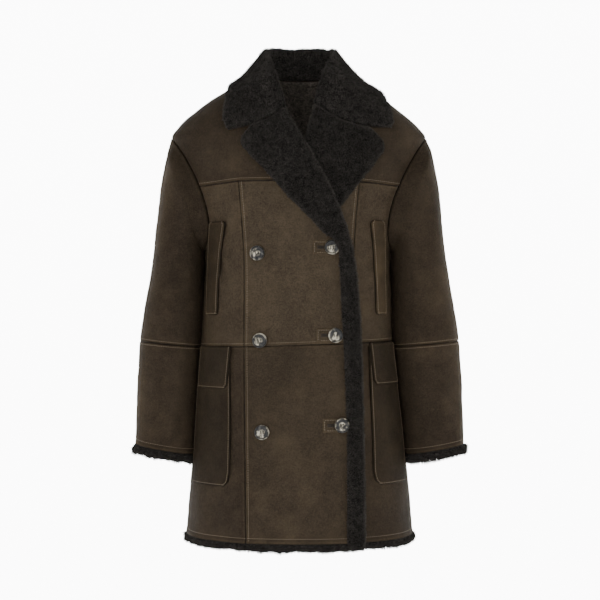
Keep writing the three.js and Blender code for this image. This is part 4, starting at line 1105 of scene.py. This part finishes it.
for side in (-1, 1):
    hand = hand_of[side]
    places, rings = sleeve_rings(side)
    normals = tube_normals(rings, side)[-1]
    share, across = superellipse(SLEEVE_POWER)
    drops = np.linspace(SEAM, CUFF_PILE_DROP - 2.5, 6)
    flare = CUFF_PILE_FLARE * ((1 + share) / 2)[None, :, None] * (drops / CUFF_PILE_DROP)[:, None, None]
    down = np.zeros((len(drops), 1, 3))
    down[..., 2] = -drops[:, None]
    outer = rings[-1][None] + down + normals * flare
    outer = outer + normals * (0.8 * lumps(outer, 6, 91 + side, 2))[..., None]
    inner = rings[-1][None] + down - normals * WALL
    outer[-1, :, 2] += 1.6 * lumps(outer[-1], 8, 95 + side, 2)
    inner[-1, :, 2] = outer[-1, :, 2]
    node = f"cuff_fleece_{hand}"
    strip = shell(node + "_strip", outer, inner, [fleece, fleece], ring=True)
    finish_piece(strip, node)
    wool = fringe(node, outer, inner, np.repeat(normals[None], len(drops), axis=0), CUFF_LOCKS, 97 + side,
                  0.8, ring=True)


# Neck lining. Inside the neck the sheepskin's own wool shows above the crossed fronts.
# It is a finish on the back's inner face, from a little below the neck seam down to the chest.
NECK_LOCKS, NECK_PILE, LINING_FOOT = 7500, 3.6, -190
lining_turn, lining_z = np.meshgrid(np.linspace(188, 352, 90), np.linspace(NECK_Z - 2, LINING_FOOT, 60))
lining = on_body(lining_turn, lining_z, -WALL)
wool_locks("neck_wool", lining, -body_normal(lining_turn, lining_z), NECK_LOCKS, NECK_PILE, 161,
           coat=inner_fleece)


# Collar. One wide folded collar of long fleece stands round the back of the neck and falls over the
# shoulders; its front ends meet the lapels at the gorges.
COLLAR_PILE = 10
COLLAR_LOCKS, COLLAR_LOCK_LENGTH, COLLAR_CUT = 33000, 3.3, (0.66, 0.17, 0.085)
GORGE_DIP = {-1: 14, 1: 19, "reach": 2.5}
# Columns of both ends: x and z at the seam, x and z at the edge, how much of the stand is there
COLLAR_RIGHT_END = [(-26, -26, -125, -69, 0), (-31, -6, -134, -54, 0), (-37, 12, -136, -30, 0.1),
                    (-44, 34, -133, -8, 0.4)]
# Columns: seam angle, crest x, y and z, edge angle, edge z
COLLAR_ROUND_NECK = [
    (125, -50, -46, 56, 158, 16), (150, -60, -10, 80, 182, 18), (180, -65, 26, 97, 205, 16),
    (210, -56, 60, 104, 225, 12), (240, -31, 76, 108, 247, 5), (270, 0, 80, 109, 270, 3),
    (300, 32, 76, 108, 293, 4), (330, 58, 60, 104, 316, 8), (360, 68, 26, 97, 338, 12),
    (390, 63, -10, 80, 360, 10), (415, 51, -46, 56, 382, -3)]
COLLAR_LEFT_END = [(44, 34, 160, -24, 0.4), (37, 12, 165, -40, 0.1), (32, -4, 166, -52, 0),
                   (27, -19, 163, -62, 0)]


def front_station(row, side):
    seam_x, seam_z, edge_x, edge_z, stand = row
    turn = 0 if side < 0 else 360
    seam_angle, edge_angle = float(angle_at(seam_x, seam_z)), float(angle_at(edge_x, edge_z))
    seam = on_body(seam_angle, seam_z, lift_of[side](np.float64(seam_x), np.float64(seam_z)))
    crest = seam + body_normal(seam_angle, seam_z) * (COLLAR_PILE + 1 + 6 * stand)
    return (seam_angle + turn, seam_z, *crest, edge_angle + turn, edge_z, stand)


collar_rows = np.array(
    [front_station(row, -1) for row in COLLAR_RIGHT_END]
    + [(seam, NECK_Z, *crest, edge, edge_z, 1) for seam, *crest, edge, edge_z in COLLAR_ROUND_NECK]
    + [front_station(row, 1) for row in COLLAR_LEFT_END])
LAST_STATION = len(collar_rows) - 1


def under_collar(place, share, out):
    """A point of the body under the collar's fall, share being 0 at the neck seam and 1 at the edge."""
    seam_angle, seam_z, _, _, _, edge_angle, edge_z, _ = at_place(collar_rows, place)
    side = -1 if place < LAST_STATION / 2 else 1
    near_gorge = max(0, 1 - min(place, LAST_STATION - place) / GORGE_DIP["reach"])
    angle = seam_angle + (edge_angle - seam_angle) * share
    z = seam_z + (edge_z - seam_z) * share - GORGE_DIP[side] * near_gorge**1.5 * np.sin(np.pi * share**0.8)
    lift = lift_of[side](body_point(angle, z)[..., 0], z)
    return on_body(angle, z, lift + out), body_normal(angle, z)


LINE_STEPS = 400


def smooth_line(keys, count):
    """Points evenly spaced along a smooth line through the keys."""
    keys = np.array(keys)
    run = run_along(keys)
    slopes = slopes_of(run, keys)
    at = np.linspace(0, run[-1], LINE_STEPS)
    i = np.clip(np.searchsorted(run, at, side="right") - 1, 0, len(keys) - 2)
    span = (run[i + 1] - run[i])[:, None]
    line = on_curve(keys[i], keys[i + 1], slopes[i], slopes[i + 1], span, (at - run[i])[:, None] / span)
    length = run_along(line)
    even = np.linspace(0, length[-1], count)
    return np.stack([np.interp(even, length, line[:, k]) for k in range(3)], -1)


COLLAR_ACROSS, COLLAR_SECTIONS = 54, 240
COLLAR_GAP, TIP_START = 1.0, 0.84
# Stations that lie on the shoulders, where the pile is pressed thin, and shares of the fall from the
# neck seam to the edge at which its line is laid
SHOULDER_STATIONS = (6, 12)
FALL_SHARES = np.array([0.12, 0.3, 0.5, 0.7, 0.84, 0.93, 0.98, 1.0])
collar_pile, collar_under = [], []
for place in np.linspace(0, LAST_STATION, COLLAR_SECTIONS):
    row = at_place(collar_rows, place)
    crest, stand = row[2:5], row[7]
    root = under_collar(place, 0.0, LAID_GAP)[0] + (0, 0, LAID_GAP)
    edge = under_collar(place, 1.0, COLLAR_GAP)[0]
    inward = unit((root - edge) * (1, 1, 0))
    pressed = sum(math.exp(-((place - at) / 1.9)**2) for at in SHOULDER_STATIONS)
    thick = COLLAR_PILE * (1 - 0.8 * pressed)
    foot = root + inward * (2 + 7 * stand)
    middle = foot + (crest - foot) * 0.55 + inward * 1.5 * stand
    brow = crest + inward * (1.5 + 5 * stand) - np.array([0, 0, 2.5 + 3 * stand])
    keys = [foot, middle, brow, crest]
    for share in FALL_SHARES:
        point, normal = under_collar(place, share, COLLAR_GAP)
        fade = (1 - share)**1.6
        tip = 1
        if share > TIP_START:
            tip = 0.3 + 0.7 * math.sqrt(max(0, 1 - ((share - TIP_START) / 0.16)**2))
        keys.append(point + (crest - root) * fade + normal * thick * (1 - fade) * tip)
    collar_pile.append(smooth_line(keys, COLLAR_ACROSS))
    shares = np.linspace(0, 1, COLLAR_ACROSS)**1.5
    collar_under.append(under_collar(place, shares, 0.8)[0])
collar_pile, collar_under = np.array(collar_pile), np.array(collar_under)


def grid_normals(grid):
    return unit(np.cross(np.gradient(grid, axis=1), np.gradient(grid, axis=0)))


def fleece_face(grid, normals, seed, depth=1.3):
    """The face of the wool: soft swells, and the small locks that it is combed into."""
    swell = 1.2 * lumps(grid, 32, seed, 2)
    locks = depth * lumps(grid, 8, seed + 3, 2)
    return grid + normals * (swell + locks)[..., None]


facing = grid_normals(collar_pile)
if np.sum(facing * (collar_pile - collar_under)) < 0:
    facing = -facing
rounded = np.minimum(1, np.minimum(np.arange(COLLAR_SECTIONS), np.arange(COLLAR_SECTIONS)[::-1]) / 6)
rounded = (0.25 + 0.75 * np.sqrt(1 - (1 - rounded)**2))[:, None, None]
collar_top = collar_under + (fleece_face(collar_pile, facing, 101) - collar_under) * rounded
collar = shell("collar_fleece", collar_top, collar_under, [fleece, leather])
finish_piece(collar, "collar")
across_share = np.linspace(0, 1, COLLAR_ACROSS)
# Painted highlight along the collar's outer edge and along its fold at the crest.
edge_highlight = 2.4 * np.exp(-((across_share - 1) / 0.05)**2)
edge_highlight = edge_highlight + 1.2 * np.exp(-((across_share - 0.3) / 0.06)**2)
collar_wool = wool_locks("collar_wool", collar_top, facing, COLLAR_LOCKS, COLLAR_LOCK_LENGTH, 111,
                         paler=np.repeat(edge_highlight[None], COLLAR_SECTIONS, axis=0))


# Lapels and front band. The fronts turn back as fleece lapels; on the right front the turned edge
# runs on as a narrow fleece band down to the hem. Columns: edge x, edge z, crease x, crease z
PILE_ROUND, LAPEL_LOCK_LENGTH = 8, 3.2
RIGHT_LAPEL = [
    (-76, -56, -25, -25), (-95, -76, -16, -46), (-104, -87, -9, -60), (-101, -98, 1, -78),
    (-48, -156, 18, -107), (-14, -195, 41, -150), (17, -226, 62, -195), (42, -254, 76, -232),
    (57, -264, 84, -254), (66, -284, 92, -284), (70, -330, 98, -330), (73, -400, 104, -400),
    (78, -500, 107, -500), (82, -610, 110, -610), (82, -720, 112, -720), (82, -786, 113, -786),
    (85, -802, 111, -804)]
LEFT_LAPEL = [
    (114, -59, 27, -14), (139, -77, 22, -38), (150, -88, 17, -56), (151, -103, 11, -76), (126, -136, 4, -104),
    (105, -163, 9, -135), (86, -187, 22, -165), (68, -210, 41, -205), (61, -221, 53, -226)]
BUTTON_RADIUS, BUTTON_HEIGHT = 13, 4.6
HOLE_PATCH_SKIN = 1.4
BUTTON_PLACES = {"right": [(-72, -288), (-68, -441), (-64, -601)],
                 "left": [(55, -278), (61, -432), (72, -589)]}


def over_buttons(x, z):
    """How far the right lapel is lifted where it lies over the top left button."""
    button_x, button_z = BUTTON_PLACES["left"][0]
    away = np.hypot(x - button_x, z - button_z)
    near = 1 - smooth_step(BUTTON_RADIUS + 3, BUTTON_RADIUS + 20, away)
    return (BUTTON_HEIGHT + HOLE_PATCH_SKIN + LAID_GAP) * near


def gorge_height(side, x):
    """Height of the collar's front end above a place of the lapel."""
    end = under_collar(0 if side < 0 else LAST_STATION, np.linspace(0, 1, 60), 0)[0]
    order = np.argsort(end[:, 0])
    return np.interp(x, end[order, 0], end[order, 2])


def laid_fleece(node, side, table, lengthways, across, locks, seed):
    """A turned-back fleece laid on the front, from its edge to the crease, row by row of a table."""
    table = np.array(table, float)
    run = np.concatenate([[0], np.cumsum(np.linalg.norm(np.diff(table, axis=0), axis=1) / 1.4)])
    at = np.linspace(0, run[-1], lengthways)
    rows = np.stack([np.interp(at, run, table[:, k]) for k in range(4)], -1)
    kernel = np.array([1, 2, 3, 2, 1]) / 9
    for k in range(4):
        rows[2:-2, k] = np.convolve(rows[:, k], kernel, mode="valid")
    share = 0.5 - 0.5 * np.cos(np.pi * np.linspace(0, 1, across))
    share = 0.6 * np.linspace(0, 1, across) + 0.4 * share
    x = rows[:, 0:1] + (rows[:, 2:3] - rows[:, 0:1]) * share
    z = rows[:, 1:2] + (rows[:, 3:4] - rows[:, 1:2]) * share
    width = np.hypot(rows[:, 2] - rows[:, 0], rows[:, 3] - rows[:, 1])[:, None]
    ends = np.minimum(at, at[-1] - at)[:, None]
    below_gorge = gorge_height(side, x) - z
    inset = np.minimum(np.minimum(share * width, (1 - share) * width), ends)
    inset = np.minimum(inset, np.clip(below_gorge, 0, None))
    rim = 1 - np.minimum(1, inset / PILE_ROUND)
    lift = right_lift(x, z) + over_buttons(x, z) if side < 0 else no_lift(x, z)
    angle = angle_at(x, z)
    rise = LAPEL_PILE * (0.25 + 0.75 * np.sqrt(1 - rim * rim))
    under = on_body(angle, z, lift + LAID_GAP - 0.3)
    pile = on_body(angle, z, lift + LAID_GAP + rise)
    facing = grid_normals(pile)
    if np.sum(facing * body_normal(angle, z)) < 0:
        facing = -facing
    top = under + (fleece_face(pile, facing, seed) - under) * np.minimum(1, 0.3 + inset / 8)[..., None]
    piece = shell(node + "_fleece", top, under, [fleece, leather])
    finish_piece(piece, node)
    # Painted highlight along the lapel's folded edge, along its outer edge and along the line of the gorge.
    edge_highlight = (2.6 * np.exp(-((1 - share) * width / 5)**2) + 1.2 * np.exp(-(share * width / 4)**2)
                 + np.exp(-(below_gorge / 6)**2))
    wool = wool_locks(node + "_wool", top, facing, locks, LAPEL_LOCK_LENGTH, seed + 9,
                      weight=(below_gorge > -2).astype(float), paler=edge_highlight)


laid_fleece("right_lapel", -1, RIGHT_LAPEL, 320, 36, 24500, seed=121)
laid_fleece("left_lapel", 1, LEFT_LAPEL, 110, 46, 15000, seed=141)


# Buttonholes. Each of the three is cut through a stitched suede patch beside its button, and is
# bound with thread along both lips.
HOLE_PATCH = {"width": 38, "height": 24, "past_button": 6}
SLIT = {"length": 17, "half_width": 1.5, "from_button": 8}
PATCH_ROW = 3.0
BOUND_STITCHES = 25
# One stitch of the binding, a small prism: its corners across the lip, along it and up, and its faces
BOUND_CORNERS = [(-1, 0, -0.5), (1, 0, -0.5), (0.75, 0.3, 0.28), (-0.75, 0.3, 0.28), (0.75, -0.3, 0.28),
                 (-0.75, -0.3, 0.28)]
BOUND_FACES = [(0, 1, 2), (0, 2, 3), (0, 4, 1), (0, 5, 4), (2, 4, 5), (2, 5, 3), (1, 4, 2), (0, 3, 5)]


def front_place(x, z, out):
    """A place on the right front: the point, its normal, and the directions across and up."""
    def at(px, pz):
        px, pz = np.float64(px), np.float64(pz)
        return on_body(angle_at(px, pz), pz, right_lift(px, pz))
    across, up = at(x + 4, z) - at(x - 4, z), at(x, z + 4) - at(x, z - 4)
    normal = unit(np.cross(across, up))
    return at(x, z) + normal * out, normal, unit(across), unit(np.cross(normal, across))


hole_binding = sewing_thread("hole_binding", 0.2, 1900, (0.0035, 0.0027, 0.002), (0.010, 0.0072, 0.005), 0.65)


def surface_grid(x, z, out):
    angle = angle_at(x, z)
    return on_body(angle, z, right_lift(x, z) + out), body_normal(angle, z)


def buttonhole(row, button_x, button_z):
    right = button_x + HOLE_PATCH["past_button"]
    left, half = right - HOLE_PATCH["width"], HOLE_PATCH["height"] / 2
    across = left + spread(HOLE_PATCH["width"], 9)
    down = button_z + half - spread(2 * half, 7)
    x, z = np.meshgrid(across, down)
    edge = np.minimum(np.minimum(x - left, right - x), half - np.abs(z - button_z))
    slit_x = button_x - SLIT["from_button"]
    along = np.clip((slit_x - x) / SLIT["length"], -1, 2)
    lips = np.exp(-((z - button_z) / 2.4)**2) * smooth_step(-0.1, 0.05, along) * smooth_step(1.1, 0.95, along)
    height = HOLE_PATCH_SKIN - np.exp(-(edge / 0.8)**2) - 0.45 * np.exp(-((edge - PATCH_ROW) / 0.8)**2)
    height = height + 0.9 * lips
    cut = 1.7 * np.exp(-((z - button_z) / 0.8)**2) * smooth_step(0, 0.06, along)
    height -= cut * smooth_step(1, 0.94, along)
    base, normals = surface_grid(x, z, LAID_GAP)
    top = base + normals * (height + 0.15 * lumps(base, 6, 151 + row, 2))[..., None]
    under = base - normals * 0.2
    wear_and_shadow = np.clip(0.22 * np.exp(-((edge - 1.4) / 1.3)**2) + 0.3 * lips, 0, 1)
    node = f"buttonhole_patch_{row}"
    patch = shell(node + "_skin", top, under, [front_leather_lit], wear_and_shadow=wear_and_shadow)
    finish_piece(patch, node)
    corners = [(left + PATCH_ROW, half - PATCH_ROW), (right - PATCH_ROW, half - PATCH_ROW),
               (right - PATCH_ROW, PATCH_ROW - half), (left + PATCH_ROW, PATCH_ROW - half),
               (left + PATCH_ROW, half - PATCH_ROW)]
    runs = []
    for (x0, z0), (x1, z1) in zip(corners[:-1], corners[1:]):
        share = np.linspace(0, 1, 14)
        runs.append(surface_grid(x0 + (x1 - x0) * share, button_z + z0 + (z1 - z0) * share,
                                 LAID_GAP + HOLE_PATCH_SKIN - 0.15))
    stitched = stitching(node + "_topstitch", runs)
    points, faces = [], []
    for lip in (-1, 1):
        share = np.linspace(0, 1, BOUND_STITCHES + 1)
        lip_z = np.full(len(share), button_z + lip * SLIT["half_width"])
        centre, facing = surface_grid(slit_x - SLIT["length"] * share, lip_z,
                                      LAID_GAP + HOLE_PATCH_SKIN + 0.55)
        for k in range(BOUND_STITCHES):
            start = len(points) * len(BOUND_CORNERS)
            way = unit(centre[k + 1] - centre[k])
            side = np.cross(way, facing[k])
            points.append([centre[k] + side * a * 1.25 + way * b + facing[k] * c
                           for a, b, c in BOUND_CORNERS])
            faces += [(start + a, start + b, start + c) for a, b, c in BOUND_FACES]
    binding = fill_mesh(node + "_binding", np.concatenate(points), np.array(faces), [hole_binding])
    finish_piece(binding)


for row, (x, z) in enumerate(BUTTON_PLACES["left"], 1):
    buttonhole(row, x, z)


# Buttons. Six round horn buttons, turned with a raised rim and a dished middle, polished, marbled
# from cream to grey and black, and sewn on through four holes. A painted reflection inside the rim and a
# painted glint on the rim lighten each one.
BUTTON_SIDES, HOLE_RADIUS, HOLE_OFFSET, HOLE_DEPTH = 72, 1.15, 2.6, 2.4
DISH_RADIUS, DISH_RINGS = 6.4, 17
THREAD_STRANDS, THREAD_STEPS, THREAD_SIDES, THREAD_RADIUS = (-0.38, 0.0, 0.38), 9, 6, 0.3
# Columns: radius, height
BUTTON_PROFILE = [
    (0, 3.0), (1.2, 3.0), (2.4, 3.0), (3.4, 3.0), (4.6, 3.02), (5.8, 3.1), (7.0, 3.3), (8.2, 3.7),
    (9.1, 4.15), (9.9, 4.45), (10.7, 4.6), (11.5, 4.5), (12.2, 4.15), (12.7, 3.6), (12.95, 2.9),
    (13.0, 2.2), (12.9, 1.5), (12.5, 0.8), (11.8, 0.3), (10.8, 0.05), (9, 0), (0, 0)]

horn_group, given, result = new_group(
    "marbled_horn",
    [("Vector", "NodeSocketVector", (0, 0, 0)), ("Shift", "NodeSocketFloat", 0.0),
     ("Dish", "NodeSocketFloat", 0.0)],
    [("Color", "NodeSocketColor"), ("Roughness", "NodeSocketFloat"), ("Height", "NodeSocketFloat")])
tree = horn_group
moved = tree.nodes.new("ShaderNodeVectorMath")
moved.operation = "ADD"
tree.links.new(given.outputs["Vector"], moved.inputs[0])
tree.links.new(given.outputs["Shift"], moved.inputs[1])
bands = add_noise(tree, moved.outputs[0], 40, 4, 0.6, 3.0)
flecks = add_noise(tree, moved.outputs[0], 420, 3, 0.6)
blend = add_weighted(tree, [(bands, 0.85), (flecks, 0.15)])
rim = add_ramp(tree, blend, [
    (0.40, (0.0006, 0.0006, 0.0006)), (0.50, (0.0014, 0.0014, 0.0014)), (0.56, (0.008, 0.0078, 0.0075)),
    (0.62, (0.035, 0.034, 0.031)), (0.68, (0.004, 0.004, 0.004))])
# The pale colours, laid on each button's centre and on its painted reflection and glint.
pale_and_highlight = add_ramp(tree, blend, [
    (0.38, (0.0012, 0.0011, 0.001)), (0.45, (0.010, 0.009, 0.0075)), (0.49, (0.09, 0.082, 0.062)),
    (0.56, (0.30, 0.275, 0.215)), (0.68, (0.06, 0.055, 0.042))])
tree.links.new(add_mix(tree, given.outputs["Dish"], rim, pale_and_highlight), result.inputs["Color"])
dullness = add_math(tree, "ADD", 0.2, add_math(tree, "MULTIPLY", flecks, 0.2))
tree.links.new(dullness, result.inputs["Roughness"])
tree.links.new(blend, result.inputs["Height"])


def horn(name, shift):
    made, tree, shader, where = new_material(name, specular=0.16)
    shader.inputs["Coat Weight"].default_value = 0.05
    shader.inputs["Coat Roughness"].default_value = 0.06
    # One value for the pale centre, the painted reflection and the painted glint.
    pale_and_highlight = add_node(tree, "ShaderNodeAttribute", {"attribute_name": "pale_and_highlight"}).outputs["Fac"]
    finish = place_group(tree, horn_group, Vector=where, Shift=shift, Dish=pale_and_highlight)
    connect_finish(tree, shader, finish, 0.12)
    return made


def button(hand, row, x, z, shift):
    patched = hand == "left"
    out = LAID_GAP + (HOLE_PATCH_SKIN + LAID_GAP if patched else 0)
    centre, normal, across, up = front_place(x, z, out)
    profile = np.array(BUTTON_PROFILE)
    dished = np.linspace(0, DISH_RADIUS, DISH_RINGS)
    fine = np.concatenate([dished, profile[6:-2, 0]])
    heights = np.concatenate([np.interp(dished, profile[:7, 0], profile[:7, 1]), profile[6:-2, 1]])
    fine, heights = np.append(fine, [6.0, 0.4]), np.append(heights, [0, 0])
    turn = 2 * np.pi * np.arange(BUTTON_SIDES) / BUTTON_SIDES
    radius, angle = np.meshgrid(np.maximum(fine, 0.02), turn, indexing="ij")
    height = np.repeat(heights[:, None], BUTTON_SIDES, axis=1)
    px, pz = radius * np.cos(angle), radius * np.sin(angle)
    for dx in (-1, 1):
        for dz in (-1, 1):
            away = np.hypot(px - dx * HOLE_OFFSET, pz - dz * HOLE_OFFSET)
            sunk = HOLE_DEPTH * smooth_step(HOLE_RADIUS + 0.3, HOLE_RADIUS - 0.2, away)
            height = height - np.where(height > 1, sunk, 0)
    points = centre + px[..., None] * across + pz[..., None] * up + height[..., None] * normal
    start_angle = 1.3 + 0.9 * row + (2.1 if patched else 0)
    middle = 0.45 + 0.55 * smooth_step(-0.4, 0.6, np.sin(angle + start_angle))
    middle = smooth_step(DISH_RADIUS, 4.4, radius) * middle
    # The pale centre is the horn's own tone. Painted reflection: a pale crescent inside the rim.
    reflection_crescent = smooth_step(9.8, 8.6, radius) * smooth_step(0.25, 0.6, np.sin(angle - 0.6 * start_angle))
    # Painted glint: a pale line round one side of the rim.
    rim_glint = smooth_step(10.9, 11.5, radius) * smooth_step(-0.6, 0.5, np.sin(angle + 2 * start_angle))
    pale_and_shine = np.clip(np.maximum(middle, reflection_crescent) + 0.75 * rim_glint, 0, 1)
    rings = len(fine)
    quads = grid_faces(rings, BUTTON_SIDES, 0, True)
    flat = points.reshape(-1, 3)
    name = f"button_{hand}_{row}"
    ends = []
    for base in (0, (rings - 1) * BUTTON_SIDES):
        k = np.arange(0, BUTTON_SIDES, 2)
        ends.append(np.stack([base + k, base + (k + 1) % BUTTON_SIDES, base + (k + 2) % BUTTON_SIDES,
                              np.full(len(k), len(flat) + (base > 0))], -1))
    ends[0] = ends[0][:, ::-1]
    middles = np.array([points[0].mean(axis=0), points[-1].mean(axis=0)])
    solid = np.concatenate([flat, middles])
    made = fill_mesh(name + "_horn", solid, outward(solid, np.concatenate([quads] + ends)),
                     [horn(f"horn_{hand}_{row}", shift)],
                     values={"pale_and_highlight": np.append(pale_and_shine.ravel(), [1, 0])})
    finish_piece(made, name)
    runs, faces, start = [], [], 0
    for dx in (-1, 1):
        for strand in THREAD_STRANDS:
            share = np.linspace(-1, 1, THREAD_STEPS)
            line = (centre + (dx * HOLE_OFFSET + strand) * across + (share * HOLE_OFFSET)[:, None] * up
                    + (3.25 - 1.5 * np.abs(share)**6 + 0.12 * abs(strand))[:, None] * normal)
            ring = 2 * np.pi * np.arange(THREAD_SIDES) / THREAD_SIDES
            round_line = np.cos(ring)[None, :, None] * across + np.sin(ring)[None, :, None] * normal
            runs.append((line[:, None] + THREAD_RADIUS * round_line).reshape(-1, 3))
            faces.append(grid_faces(THREAD_STEPS, THREAD_SIDES, start, True))
            start += THREAD_STEPS * THREAD_SIDES
    sewn = fill_mesh(name + "_thread", np.concatenate(runs), np.concatenate(faces), [hole_binding])
    finish_piece(sewn)


for hand, places in BUTTON_PLACES.items():
    for row, (x, z) in enumerate(places, 1):
        button(hand, row, x, z, shift=0.13 * row + (0.5 if hand == "left" else 0.0))
